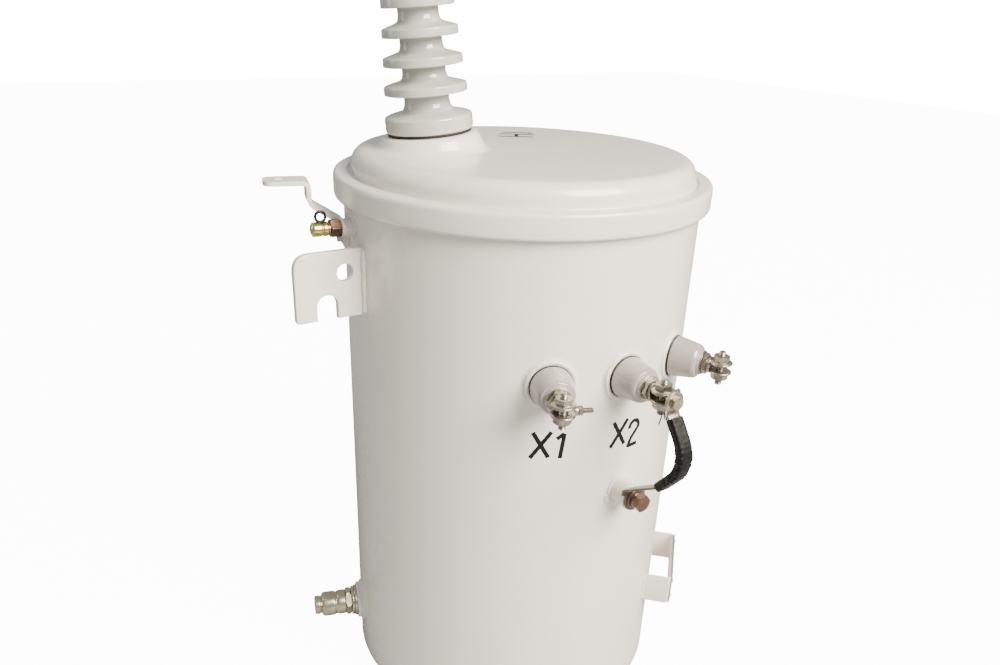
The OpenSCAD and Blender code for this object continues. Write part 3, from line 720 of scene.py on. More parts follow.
class Effects:
    """The node groups that several finishes share, each built once."""

    def __init__(self) -> None:
        """Build every group."""
        self.mottle = self._mottle()
        self.dust = self._dust()
        self.relief = self._relief()
        self.tarnish = self._tarnish()

    @staticmethod
    def _mottle() -> bpy.types.NodeTree:
        """Cloudy change between two near tints, with streaks that run down."""
        g = GroupMaker("cloudy_tint")
        g.tint("Light", (0.8, 0.8, 0.8))
        g.tint("Dark", (0.7, 0.7, 0.7))
        g.number("Scale", 12.0)
        g.number("Streak", 0.3)
        cloud = g.spread(g.noise(g.given("Scale"), 5.0, 0.6), 0.3, 0.7)
        streak = g.spread(g.noise(g.given("Scale"), 4.0, 0.6, (1, 1, 0.06)), 0.5, 0.72)
        mask = g.math("ADD", cloud, g.math("MULTIPLY", streak, g.given("Streak")), clamp=True)
        g.give("Color", g.mix(mask, "Light", "Dark"))
        g.give("Mask", mask)
        return g.tree

    @staticmethod
    def _dust() -> bpy.types.NodeTree:
        """Fine dust on faces that look up, and sparse specks everywhere."""
        g = GroupMaker("settled_dust")
        g.tint("Color", (0.8, 0.8, 0.8))
        g.tint("Dust", (0.45, 0.42, 0.37))
        g.number("Amount", 0.3)
        g.number("Scale", 60.0)
        geometry = g.nodes.new("ShaderNodeNewGeometry")
        split = g.nodes.new("ShaderNodeSeparateXYZ")
        g.link(geometry.outputs["Normal"], split.inputs[0])
        facing = g.spread(split.outputs["Z"], 0.15, 0.95)
        patch = g.spread(g.noise(g.given("Scale"), 6.0, 0.65), 0.42, 0.68)
        speck_scale = g.math("MULTIPLY", g.given("Scale"), 9.0)
        speck = g.spread(g.noise(speck_scale, 2.0, 0.5), 0.70, 0.78)
        laid = g.math("MULTIPLY", facing, g.math("ADD", patch, 0.35))
        both = g.math("ADD", laid, g.math("MULTIPLY", speck, 0.5), clamp=True)
        mask = g.math("MULTIPLY", both, g.given("Amount"), clamp=True)
        g.give("Color", g.mix(mask, "Color", "Dust"))
        g.give("Mask", mask)
        return g.tree

    @staticmethod
    def _relief() -> bpy.types.NodeTree:
        """Height of a slightly uneven surface: slow waves and a fine grain."""
        g = GroupMaker("surface_relief")
        g.number("Wave Scale", 20.0)
        g.number("Wave", 0.5)
        g.number("Grain Scale", 600.0)
        g.number("Grain", 0.5)
        wave = g.math("MULTIPLY", g.noise(g.given("Wave Scale"), 2.0, 0.5), g.given("Wave"))
        grain = g.math("MULTIPLY", g.noise(g.given("Grain Scale"), 3.0, 0.6), g.given("Grain"))
        g.give("Height", g.math("ADD", wave, grain))
        return g.tree

    @staticmethod
    def _tarnish() -> bpy.types.NodeTree:
        """Patches of a third tint and a matching change of roughness, for metals."""
        g = GroupMaker("metal_tarnish")
        g.tint("Color", (0.7, 0.7, 0.7))
        g.tint("Tarnish", (0.3, 0.25, 0.2))
        g.number("Scale", 90.0)
        g.number("Amount", 0.5)
        g.number("Roughness", 0.3)
        patch = g.spread(g.noise(g.given("Scale"), 6.0, 0.7), 0.40, 0.70)
        mask = g.math("MULTIPLY", patch, g.given("Amount"), clamp=True)
        g.give("Color", g.mix(mask, "Color", "Tarnish"))
        rough = g.math("ADD", g.given("Roughness"), g.math("MULTIPLY", mask, 0.25), clamp=True)
        g.give("Roughness", rough)
        return g.tree


# ---------------------------------------------------------------- finishes


@dataclass(frozen=True)
class Finish:
    """One finish with its tints, gloss and relief; sizes of relief are in metres."""

    name: str
    light: Color
    dark: Color
    roughness: float
    cloud_scale: float = 12.0
    streak: float = 0.25
    dust: float = 0.25
    dust_scale: float = 60.0
    wave_scale: float = 18.0
    wave: float = 0.6
    grain_scale: float = 700.0
    grain: float = 0.3
    bump: float = 0.00025
    coat: float = 0.0
    coat_rough: float = 0.08
    metallic: float = 0.0
    third: Color = (0.3, 0.25, 0.2)
    third_amount: float = 0.0
    third_scale: float = 90.0
    specular: float = 0.5
    ior: float = 1.5

    def build(self, effects: Effects) -> bpy.types.Material:
        """Build the material.

        Args:
            effects: The shared node groups.

        Returns:
            The finished material.
        """
        material = bpy.data.materials.new(self.name)
        material.use_nodes = True
        tree = material.node_tree
        shader = tree.nodes["Principled BSDF"]

        def place(group: bpy.types.NodeTree, **values: object) -> bpy.types.Node:
            """Add a group node with its values."""
            made = tree.nodes.new("ShaderNodeGroup")
            made.node_tree = group
            for key, value in values.items():
                socket = made.inputs[key.replace("_", " ")]
                if isinstance(value, bpy.types.NodeSocket):
                    tree.links.new(value, socket)
                else:
                    socket.default_value = (*value, 1.0) if isinstance(value, tuple) else value
            return made

        tint = place(
            effects.mottle, Light=self.light, Dark=self.dark, Scale=self.cloud_scale, Streak=self.streak
        )
        color = tint.outputs["Color"]
        if self.third_amount > 0:
            worn = place(
                effects.tarnish,
                Color=color,
                Tarnish=self.third,
                Scale=self.third_scale,
                Amount=self.third_amount,
                Roughness=self.roughness,
            )
            color = worn.outputs["Color"]
            rough = worn.outputs["Roughness"]
        else:
            ramp = tree.nodes.new("ShaderNodeMapRange")
            tree.links.new(tint.outputs["Mask"], ramp.inputs["Value"])
            ramp.inputs["To Min"].default_value = self.roughness * 0.85
            ramp.inputs["To Max"].default_value = self.roughness * 1.2
            rough = ramp.outputs["Result"]
        dusty = place(effects.dust, Color=color, Amount=self.dust, Scale=self.dust_scale)
        lift = tree.nodes.new("ShaderNodeMath")
        lift.operation = "MULTIPLY_ADD"
        lift.use_clamp = True
        tree.links.new(dusty.outputs["Mask"], lift.inputs[0])
        lift.inputs[1].default_value = 0.4
        tree.links.new(rough, lift.inputs[2])
        relief = place(
            effects.relief,
            Wave_Scale=self.wave_scale,
            Wave=self.wave,
            Grain_Scale=self.grain_scale,
            Grain=self.grain,
        )
        bump = tree.nodes.new("ShaderNodeBump")
        bump.inputs["Distance"].default_value = self.bump
        bump.inputs["Strength"].default_value = 1.0
        tree.links.new(relief.outputs["Height"], bump.inputs["Height"])
        tree.links.new(dusty.outputs["Color"], shader.inputs["Base Color"])
        tree.links.new(lift.outputs[0], shader.inputs["Roughness"])
        tree.links.new(bump.outputs["Normal"], shader.inputs["Normal"])
        for name, value in (
            ("Metallic", self.metallic),
            ("Coat Weight", self.coat),
            ("Coat Roughness", self.coat_rough),
            ("Specular IOR Level", self.specular),
            ("IOR", self.ior),
        ):
            shader.inputs[name].default_value = value
        return material


class Finishes:
    """All finishes of the transformer, built once."""

    def __init__(self) -> None:
        """Build the materials."""
        fx = Effects()
        self.paint = Finish(
            "tank_paint", (0.80, 0.755, 0.69), (0.765, 0.722, 0.66), 0.26, cloud_scale=6.0, streak=0.2,
            dust=0.10, wave=1.0, wave_scale=14.0, grain_scale=420.0, grain=0.12, bump=0.0005,
            coat=0.5, coat_rough=0.10,
        ).build(fx)
        ware = Finish(
            "hv_glaze", (0.53, 0.54, 0.48), (0.44, 0.45, 0.40), 0.14, cloud_scale=25.0, streak=0.3,
            dust=0.14, dust_scale=110.0, wave=0.8, wave_scale=60.0, grain=0.1, bump=0.00022,
            coat=0.6, coat_rough=0.05, ior=1.55,
        )
        self.hv_glaze = ware.build(fx)
        self.lv_glaze = replace(
            ware, name="lv_glaze", light=(0.33, 0.303, 0.275), dark=(0.29, 0.265, 0.24), roughness=0.18,
            cloud_scale=40.0, streak=0.2, dust=0.12, dust_scale=140.0, wave_scale=90.0, bump=0.00018,
            coat_rough=0.06,
        ).build(fx)
        self.tin = Finish(
            "tinned_bronze", (0.46, 0.425, 0.365), (0.33, 0.30, 0.25), 0.24, cloud_scale=70.0, streak=0.0,
            dust=0.06, dust_scale=220.0, wave=1.0, wave_scale=260.0, grain=0.5, grain_scale=1500.0,
            bump=0.00022, metallic=0.95, third=(0.13, 0.11, 0.08), third_amount=0.65, third_scale=130.0,
        ).build(fx)
        plated = Finish(
            "yellow_zinc", (0.50, 0.43, 0.33), (0.38, 0.32, 0.24), 0.24, cloud_scale=95.0, streak=0.0,
            dust=0.10, dust_scale=240.0, wave=0.6, wave_scale=300.0, grain=0.4, grain_scale=1600.0,
            bump=0.00014, metallic=0.92, third=(0.30, 0.19, 0.15), third_amount=0.7, third_scale=70.0,
        )
        self.yellow_zinc = plated.build(fx)
        self.steel = replace(
            plated, name="zinc_steel", light=(0.55, 0.57, 0.60), dark=(0.46, 0.48, 0.52), roughness=0.28,
            cloud_scale=80.0, dust_scale=220.0, grain_scale=1800.0, metallic=0.95,
            third=(0.20, 0.24, 0.32), third_amount=0.5, third_scale=110.0,
        ).build(fx)
        aged = replace(
            plated, name="aged_brass", light=(0.17, 0.115, 0.075), dark=(0.11, 0.075, 0.05), roughness=0.26,
            dust=0.06, metallic=0.9, third=(0.20, 0.09, 0.06), third_amount=0.6, third_scale=80.0,
        )
        self.aged_brass = aged.build(fx)
        self.copper = replace(
            aged, name="pink_copper", light=(0.36, 0.21, 0.17), dark=(0.26, 0.15, 0.12), roughness=0.28,
            third=(0.08, 0.055, 0.04), third_scale=110.0,
        ).build(fx)
        self.olive = replace(
            aged, name="olive_zinc", light=(0.13, 0.12, 0.08), dark=(0.09, 0.08, 0.055), roughness=0.32,
            dust=0.10, metallic=0.75, third=(0.17, 0.11, 0.06), third_amount=0.5,
        ).build(fx)
        cast = Finish(
            "bright_brass", (0.66, 0.55, 0.20), (0.46, 0.37, 0.12), 0.18, cloud_scale=60.0, streak=0.0,
            dust=0.04, dust_scale=180.0, wave=0.5, wave_scale=240.0, grain=0.3, grain_scale=1500.0,
            bump=0.00012, metallic=0.95, third=(0.24, 0.18, 0.07), third_amount=0.5, third_scale=85.0,
        )
        self.bright_brass = cast.build(fx)
        self.brass = replace(
            cast, name="valve_brass", light=(0.58, 0.53, 0.40), dark=(0.46, 0.41, 0.29), roughness=0.20,
            dust=0.12, third=(0.34, 0.28, 0.16), third_amount=0.4,
        ).build(fx)
        self.plate = Finish(
            "plate_metal", (0.62, 0.63, 0.65), (0.54, 0.55, 0.57), 0.34, cloud_scale=50.0, streak=0.0,
            dust=0.12, dust_scale=200.0, wave=0.4, wave_scale=150.0, grain=0.5, grain_scale=1800.0,
            bump=0.00012, metallic=0.9, third=(0.40, 0.40, 0.41), third_amount=0.35, third_scale=70.0,
        ).build(fx)
        self.dark_steel = Finish(
            "dark_steel", (0.030, 0.029, 0.030), (0.020, 0.019, 0.020), 0.4, cloud_scale=40.0, streak=0.0,
            dust=0.0, wave=0.4, grain=0.6, bump=0.0002, metallic=0.6,
        ).build(fx)
        self.gasket = Finish(
            "gasket_rubber", (0.018, 0.013, 0.010), (0.012, 0.009, 0.008), 0.6, cloud_scale=90.0,
            dust_scale=300.0, wave=0.4, wave_scale=200.0, grain=0.6, bump=0.0002, specular=0.3,
        ).build(fx)
        self.sleeve = Finish(
            "black_sleeve", (0.004, 0.004, 0.0045), (0.0025, 0.0025, 0.003), 0.42, cloud_scale=80.0,
            streak=0.0, dust=0.04, dust_scale=300.0, wave=1.0, wave_scale=170.0, grain=0.5,
            grain_scale=1100.0, bump=0.0008, specular=0.16,
        ).build(fx)
        self.marking = Finish(
            "black_marking", (0.004, 0.004, 0.0045), (0.006, 0.006, 0.0065), 0.45, cloud_scale=120.0,
            streak=0.0, dust=0.0, dust_scale=300.0, wave=0.5, wave_scale=120.0, grain=0.4, bump=0.0001,
            specular=0.15,
        ).build(fx)


# ---------------------------------------------------------------- sub-assemblies


@dataclass
class Tank:
    """Tank shell with its rolled rim, bottom plate and the hidden core."""

    looks: Finishes
    sides: int = 256
    rim_ease: float = 3.0
    foot_ease: float = 1.5

    def build(self) -> None:
        """Make the wall, the bottom and the core's finish."""
        self.wall()
        self.bottom()
        core = bpy.data.objects["core_and_coils"]
        core.data.materials.clear()
        core.data.materials.append(self.looks.dark_steel)

    def wall(self) -> None:
        """Shell with slight plate waves, a long seam at the back and a rolled rim."""
        s = SIZES
        inner, outer, rim = s.tank_r - s.wall, s.tank_r, s.rim_r
        levels = [(outer, 20.0 + k * (s.tank_h - s.rim_h - 40.0) / 24, 0.0) for k in range(25)]
        outline = rounded(
            [
                (inner, 0.0, 0.5), (outer, 0.0, self.foot_ease), *levels,
                (outer, s.tank_h - s.rim_h, 1.5), (rim, s.tank_h - s.rim_h, self.rim_ease),
                (rim, s.tank_h, self.rim_ease), (inner, s.tank_h, 0.5),
            ]
        )

        def uneven(angle: float, r: float, z: float) -> tuple[float, float]:
            """Rolled plate is never quite round."""
            if r < outer - 0.5 or r > outer + 0.5:
                return r, z
            return r + wall_wave(math.cos(angle), math.sin(angle), z), z

        shape = Shape("tank_wall_skin").lathe(outline, PLAIN, self.sides, warp=uneven)
        seam_arc = math.radians(150.0) * s.tank_r
        weld_line(shape, on_wall(seam_arc, 6, outer), on_wall(seam_arc, s.tank_h - s.rim_h - 2, outer), 2.6)
        shape.finished("tank_paint", [self.looks.paint], "tank_wall")

    def bottom(self) -> None:
        """Bottom plate with the weld that holds it in the wall."""
        inner = SIZES.tank_r - SIZES.wall
        outline = rounded(
            [(0, 0, 0), (inner - 5, 0, 0), (inner - 3, 0.8, 1), (inner, 0.5, 0), (inner, 5, 0), (0, 5, 0)]
        )
        shape = Shape("tank_bottom_plate").lathe(outline, PLAIN, 160)
        shape.finished("tank_paint", [self.looks.paint], "tank_bottom")


@dataclass
class Cover:
    """Pressed cover with the leaning pad, its gasket, the clamping band and the band bolt."""

    looks: Finishes
    sides: int = 256
    crown: float = 2.2
    pad_out: float = 78.0
    pad_top_r: float = 54.0
    pad_sides: int = 192

    def build(self) -> None:
        """Make every piece of the cover."""
        self.cover()
        self.gasket()
        self.band()
        self.band_bolt()

    def dome_at(self, x: float, y: float) -> float:
        """Height of the plain dome over a point."""
        flat_r = SIZES.dome_r - SIZES.shoulder
        return SIZES.dome_z + self.crown * (1 - (x * x + y * y) / flat_r**2)

    def cover(self) -> None:
        """Dome with eased shoulder, groove wall, rim and the pad for the bushing."""
        s = SIZES
        base = s.tank_h + s.gasket_t
        rim_top = base + s.cover_rim_t
        flat_r = s.dome_r - s.shoulder
        outer = [(flat_r * k / 40, self.dome_at(flat_r * k / 40, 0)) for k in range(41)]
        fall = [90 * (1 - k / 16) for k in range(1, 17)]
        outer += arc_points((flat_r, s.dome_z - s.shoulder), (s.shoulder, s.shoulder), fall)
        rim = rounded(
            [
                (s.dome_r, s.dome_z - s.shoulder - 0.5, 0), (s.dome_r, rim_top, 3.0), (s.rim_r, rim_top, 2.5),
                (s.rim_r, base, 1.0), (s.dome_r - 3, base, 1.0), (s.dome_r - 3, s.dome_z - s.shoulder, 3.0),
                (flat_r - 4, s.dome_z - 3, 3.0), (0.0, s.dome_z - 3, 0),
            ],
            closed=False,
        )
        shape = Shape("cover_dome").lathe([*outer, *rim], PLAIN, self.sides)
        self.pad(shape)
        shape.finished("tank_paint", [self.looks.paint], "cover")

    def pad(self, shape: Shape) -> None:
        """Raised pad whose top leans with the bushing and whose foot runs out into the dome.

        Args:
            shape: The cover's piece.
        """
        high = SIZES.hv_pad_h
        profile = rounded(
            [(0, high, 0), (self.pad_top_r, high, 5.5), (self.pad_top_r + 9, 0, 12), (self.pad_out, 0, 0)],
            closed=False, steps=9,
        )
        place = on_pad()
        top, foot = place @ Vector((0, 0, high)), place @ Vector((0, 0, 0))
        normal = (place.to_3x3() @ Vector((0, 0, 1))).normalized()
        sunk = SIZES.dome_z - 2.2
        rings = []
        for k in range(self.pad_sides):
            a = TAU * k / self.pad_sides
            ring = []
            for reach, height in profile:
                part = height / high
                x = foot.x + (top.x - foot.x) * part + reach * math.cos(a)
                y = foot.y + (top.y - foot.y) * part + reach * math.sin(a)
                plane = top.z - (normal.x * (x - top.x) + normal.y * (y - top.y)) / normal.z
                dome = self.dome_at(x, y)
                under = 0.25 if reach >= self.pad_out else 0.0
                ring.append(shape.corner((x, y, dome + (plane - dome) * part - under)))
            edge = ring[-1].co
            rings.append([*ring, shape.corner((edge.x, edge.y, sunk)), shape.corner((foot.x, foot.y, sunk))])
        shape.skin(rings)
        shape.merge([corner for ring in rings for corner in ring])

    def gasket(self) -> None:
        """Rim gasket that shows as a thin dark line."""
        s = SIZES
        outline = rounded(
            [
                (s.tank_r - s.wall, s.tank_h, 0.6), (s.rim_r, s.tank_h, 1.2),
                (s.rim_r, s.tank_h + s.gasket_t, 1.2), (s.tank_r - s.wall, s.tank_h + s.gasket_t, 0.6),
            ]
        )
        shape = Shape("cover_gasket_ring").lathe(outline, PLAIN, 192)
        shape.finished("gasket_rubber", [self.looks.gasket], "cover_gasket")

    def band(self) -> None:
        """Channel band with eased edges, open at its bolt, and two ears."""
        s = SIZES
        low, top, neck, out = s.band_low, s.band_top, s.band_neck_r, s.band_r
        t = 2.5
        section = rounded(
            [
                (s.tank_r + 0.6, low, 0.8), (out, low, 4.5), (out + 0.3, (low + top) / 2, 6), (out, top, 5.5),
                (neck, top, 1.2), (neck, top - t, 0.8), (out - t, top - t, 2.0), (out - t, low + t, 2.0),
                (s.tank_r + 0.6, low + t, 0.8),
            ],
            steps=4,
        )
        sides = 360
        gap = 2.5
        start = math.radians(s.band_a - 90 + gap)
        span = TAU - 2 * math.radians(gap)
        shape = Shape("cover_band_channel")
        rings = []
        for k in range(sides + 1):
            a = start + span * k / sides
            rings.append([shape.corner((r * math.cos(a), r * math.sin(a), z)) for r, z in section])
        shape.tube(rings)
        middle = (low + top) / 2
        for side in (-1, 1):
            place = turn(s.band_a, "Z") @ shift(side * 12.1, -out - 10, middle) @ turn(90, "Y")
            outline = rounded([(-12, -12, 5), (12, -12, 5), (12, 12, 0.5), (-12, 12, 0.5)])
            hole = circle(5.2, 32, y=-1)
            shape.plate(outline, [hole], 5.0, 0.9, place @ shift(0, 0, -2.5))
        shape.finished("tank_paint", [self.looks.paint], "cover_band")

    def band_bolt(self) -> None:
        """Bolt, washer faces and nut through the ears."""
        s = SIZES
        middle = (s.band_low + s.band_top) / 2
        place = turn(s.band_a, "Z") @ shift(0, -s.band_r - 11, middle) @ turn(90, "Y")
        shape = Shape("cover_band_bolt_set")
        shape.thread(5.0, 1.5, 42.0, place @ shift(0, 0, -15.0))
        shape.hexagon(17.0, 7.0, place @ shift(0, 0, -21.8))
        shape.hexagon(17.0, 7.5, place @ shift(0, 0, 14.7), bore=4.6)
        shape.finished("zinc_steel", [self.looks.steel], "cover_band_bolt")


@dataclass
class HighVoltageBushing:
    """Leaning porcelain with five sheds, its gasket, cap, stud and clamp."""

    looks: Finishes
    flange_r: float = 49.5
    flange_h: float = 17.0
    neck_r: float = 26.0
    top_r: float = 20.0
    shed_z: float = 39.5
    shed_step: float = 29.0
    shed_r: float = 46.5
    shed_less: float = 2.3
    shed_t: float = 9.0
    sheds: int = 5
    stem_r: float = 22.0
    stem_l: float = 90.0
    stud_r: float = 8.0

    @property
    def body_h(self) -> float:
        """Height of the porcelain over its foot."""
        return self.shed_z + (self.sheds - 1) * self.shed_step + 38.0

    def neck_at(self, z: float) -> float:
        """Radius of the neck at a height."""
        t = (z - self.flange_h) / (self.body_h - self.flange_h)
        return self.neck_r + (self.top_r - self.neck_r) * max(0.0, min(1.0, t))

    def build(self) -> None:
        """Make every piece of the bushing."""
        lift = SIZES.hv_pad_h
        ring = rounded([(24, 0, 0.4), (47.5, 0, 0.9), (47.5, 3, 0.9), (24, 3, 0.4)])
        gasket = Shape("hv_gasket_ring").lathe(ring, on_pad(lift), 128)
        gasket.finished("gasket_rubber", [self.looks.gasket], "hv_gasket")
        foot = lift + SIZES.hv_gasket_t
        shape = Shape("hv_porcelain_body").lathe(self.outline(), on_pad(foot), 160, warp=self.hand_thrown)
        shape.finished("hv_porcelain", [self.looks.hv_glaze], "hv_bushing")
        self.terminal(foot)

    def outline(self) -> list[Point2]:
        """Half outline of the porcelain with drooping shed rims and eased roots."""
        f = self.flange_r
        corners: list[Corner] = [(0, -self.stem_l, 0), (self.stem_r, -self.stem_l, 2), (self.stem_r, 0, 1)]
        corners += [(f - 1, 0, 1.6), (f, 3, 2), (f, self.flange_h - 1, 3.4), (f - 4, self.flange_h + 1.0, 4)]
        corners.append((self.neck_at(24) + 1.5, self.flange_h + 5.5, 6.5))
        for k in range(self.sheds):
            z = self.shed_z + k * self.shed_step
            r = self.shed_r - k * self.shed_less
            neck = self.neck_at(z)
            corners += [
                (neck, z - 8, 0), (neck, z + 1.0, 3.0), (neck + 5, z + 1.6, 2.0), (r - 4, z + 1.0, 1.0),
                (r - 2.6, z - 0.1, 1.0), (r, z + 0.5, 1.5),
                (r - 0.4, z + self.shed_t, 1.5), (r - 2.6, z + self.shed_t + 0.9, 1.2),
                (self.neck_at(z + 16) + 1.0, z + self.shed_t + 6.0, 5.0),
            ]
        top = self.body_h
        corners += [(self.top_r, top - 8, 2), (self.top_r - 1, top, 2.2), (0, top, 0)]
        return rounded(corners, closed=False, steps=5)

    def hand_thrown(self, angle: float, r: float, z: float) -> tuple[float, float]:
        """Slight unevenness of glazed ware."""
        n = noise.noise(Vector((math.cos(angle) * 1.3, math.sin(angle) * 1.3, z * 0.03)))
        return (r, z) if r < self.stem_r + 0.5 or z <= 0.01 else (r + n * 0.18, z)

    def terminal(self, foot: float) -> None:
        """Metal cap, threaded stud, jaws and nut on the porcelain top.

        Args:
            foot: Height of the porcelain foot over the dome.
        """
        base = foot + self.body_h
        cap = rounded(
            [(0, 0, 0), (16.4, 0, 0.8), (17, 3, 1), (17, 7, 2), (11, 9, 1), (0, 9, 0)], closed=False
        )
        shape = Shape("hv_cap_and_stud").lathe(cap, on_pad(base), 96)
        shape.thread(self.stud_r, 1.8, 57.5, on_pad(base + 8.5))
        shape.finished("tinned_bronze", [self.looks.tin], "hv_terminal")
        seat = rounded(
            [
                (8.1, 0, 0.5), (12.8, 0, 1), (12.8, 7, 1.5), (16, 8, 1.5),
                (17, 10.5, 2), (17, 12.6, 1.5), (14, 14, 1), (8.1, 14, 0.5),
            ]
        )
        lower = Shape("hv_jaw_lower").lathe(seat, on_pad(base + 9), 96)
        lower.finished("tinned_bronze", [self.looks.tin], "hv_clamp_lower")
        jaw = rounded(
            [(8.1, 0, 0.5), (14, 0, 1), (17, 1.6, 1.5), (17, 4.2, 1.5), (14.5, 6, 1.5), (8.1, 6, 0.5)]
        )
        upper = Shape("hv_jaw_upper").lathe(jaw, on_pad(base + 33), 96)
        upper.hexagon(25.4, 11.0, on_pad(base + 39), bore=7.4)
        upper.finished("tinned_bronze", [self.looks.tin], "hv_clamp_upper")


class Post(Enum):
    """The three low voltage bushings, by their place from left to right."""

    X1 = -1
    X2 = 0
    X3 = 1


@dataclass
class LowVoltageBushing:
    """Collar, gasket, porcelain, stud and cable clamp of one low voltage bushing."""

    looks: Finishes
    post: Post
    collar_r: float = 29.0
    body_r: float = 23.5
    end_r: float = 19.5
    jaw_r: float = 13.0
    web: Point2 = (-7.9, -3.6)

    @property
    def tag(self) -> str:
        """Name of the bushing in piece names."""
        return self.post.name.lower()

    def place(self, lift: float = 0.0) -> Matrix:
        """Place on the wall, moved outwards."""
        return radial(self.post.value * SIZES.lv_step_a, SIZES.lv_z, SIZES.tank_r + lift)

    def build(self) -> None:
        """Make every piece of this bushing but the shared gasket rings."""
        azimuth = self.post.value * SIZES.lv_step_a
        top = SIZES.lv_collar
        collar = rounded(
            [
                (15.4, -4, 0.3), (self.collar_r, -4, 0), (self.collar_r, 0.2, 0), (28.6, 1.6, 1.2),
                (27.0, top + 0.7, 1.6), (25.2, top + 0.4, 0.8), (24.5, top, 0.4), (15.4, top, 0.3),
            ]
        )
        shape = Shape(f"lv_collar_{self.tag}_ring").lathe(collar, self.place(), 112)
        shape.loop(ring_on_wall(azimuth, SIZES.lv_z, self.collar_r + 0.4, 150), bead(1.3))
        shape.finished("tank_paint", [self.looks.paint], f"lv_collar_{self.tag}")
        foot = SIZES.lv_foot
        body = rounded(
            [
                (6.4, -34, 0.5), (15, -34, 1), (15, foot, 0.6), (self.body_r, foot, 1.2),
                (self.body_r, foot + 2.5, 0.6), (self.end_r + 0.5, 31, 1.5), (self.end_r - 1.6, 34.5, 2.6),
                (15.2, 34.7, 0.8), (14.6, 37.4, 0.8),
                (13.6, 38, 0.6), (6.4, 38, 0.4),
            ]
        )
        ware = Shape(f"lv_porcelain_{self.tag}").lathe(body, self.place(), 112, warp=self.moulded)
        ware.finished("lv_porcelain", [self.looks.lv_glaze], f"lv_bushing_{self.tag}")
        self.stud()
        self.clamp()
        self.clamp_bolt()

    @staticmethod
    def moulded(angle: float, r: float, z: float) -> tuple[float, float]:
        """Slight unevenness of glazed ware."""
        n = noise.noise(Vector((math.cos(angle) * 1.1, math.sin(angle) * 1.1, z * 0.05)))
        return (r + n * 0.12, z) if r > 16 else (r, z)

    def stud(self) -> None:
        """Threaded stud with its washer and nut."""
        tip = SIZES.lv_tip
        shape = Shape(f"lv_stud_{self.tag}_set")
        rod = rounded([(0, -51, 0), (6, -51, 0.5), (6, tip, 0.2), (0, tip, 0)], closed=False)
        shape.lathe(rod, self.place(), 48)
        shape.thread(6.0, 1.75, 12.0, self.place(tip - 1))
        washer = rounded([(6.2, 0, 0.2), (14, 0, 0.5), (14, 1.5, 0.5), (6.2, 1.5, 0.2)])
        shape.lathe(washer, self.place(tip), 72)
        twist = turn(11 * self.post.value + 7, "Z")
        shape.hexagon(22.0, 5.5, self.place(tip + 1.5) @ twist, bore=5.4)
        shape.finished("tinned_bronze", [self.looks.tin], f"lv_stud_{self.tag}")

    def clamp(self) -> None:
        """Clamp body: sleeve on the stud, web and dished lower jaw."""
        s = SIZES
        shape = Shape(f"lv_clamp_{self.tag}_body")
        sleeve = rounded([(6.05, 0, 0.3), (9.3, 0, 1), (9.5, 2, 0.8), (8.9, 4, 0.9), (6.05, 4, 0.3)])
        shape.lathe(sleeve, self.place(s.lv_nut_top), 64)
        low, high = self.web
        reach = s.lv_bolt_z - s.lv_nut_top - 3
        shape.block((-5.6, low, 0.2), (5.6, high, reach), 1.4, self.place(s.lv_nut_top))
        jaw = rounded(
            [
                (4.1, 0, 0.3), (9.5, 0, 0.8), (self.jaw_r, 1.6, 1.4),
                (self.jaw_r, 3.6, 0.9), (11.4, 4.5, 0.7), (4.1, 4.1, 0.3),
            ]
        )
        down = self.place(s.lv_bolt_z) @ turn(-90, "X") @ shift(0, 0, -8.0)
        shape.lathe(jaw, down, 72)
        self.side_bolt(shape)
        if self.post is Post.X2:
            pad = rounded([(4.1, 0, 0.2), (7, 0, 0.6), (7, 2.1, 0.5), (4.1, 2.1, 0.2)])
            shape.lathe(pad, self.place(s.lug_plane - 2.1), 48)
            shape.block((-6.6, low, -2.3), (6.6, high, 2.2), 1.0, self.place(s.lv_bolt_z + self.jaw_r))
        shape.finished("tinned_bronze", [self.looks.tin], f"lv_clamp_{self.tag}")

    def side_bolt(self, shape: Shape) -> None:
        """Arm to the right with a small bolt and nut, cast in one with a lobe round the nut.

        Args:
            shape: The clamp body's piece.
        """
        low, high = self.web
        start = self.place(SIZES.lv_nut_top + 5)
        shape.block((1.0, low, -4.0), (18.0, high, 4.0), 1.3, start)
        across = start @ shift(9.0, (low + high) / 2, 0) @ turn(90, "Y")
        lobe = rounded([(3.1, 3.5, 0.5), (5.0, 3.5, 1.0), (5.3, 6.5, 1.0), (5.0, 8.6, 0.8), (3.1, 8.6, 0.3)])
        shape.lathe(lobe, across, 40)
        shape.hexagon(9.5, 4.6, across @ shift(0, 0, 9.0) @ turn(20, "Z"), bore=2.6)
        shape.thread(3.0, 1.0, 24.8, across)

    def clamp_bolt(self) -> None:
        """Upright bolt with head, upper jaw and nut."""
        s = SIZES
        down = self.place(s.lv_bolt_z) @ turn(-90, "X")
        twist = turn(17 + 23 * self.post.value, "Z")
        shape = Shape(f"lv_clamp_bolt_{self.tag}_set")
        shape.hexagon(17.0, 6.0, down @ shift(0, 0, -14.0) @ twist, bore=3.6)
        shape.thread(4.0, 1.25, 40.0, down @ shift(0, 0, -21.0))
        jaw = rounded(
            [
                (4.1, 0.3, 0.3), (11.2, 0, 0.7), (self.jaw_r, 1.0, 0.9),
                (self.jaw_r, 3.0, 1.4), (9.5, 4.5, 0.8), (4.1, 4.5, 0.3),
            ]
        )
        shape.lathe(jaw, down @ shift(0, 0, 3.5), 72)
        shape.hexagon(17.0, 6.0, down @ shift(0, 0, 8.0) @ twist @ turn(24, "Z"), bore=3.6)
        shape.finished("tinned_bronze", [self.looks.tin], f"lv_clamp_bolt_{self.tag}")


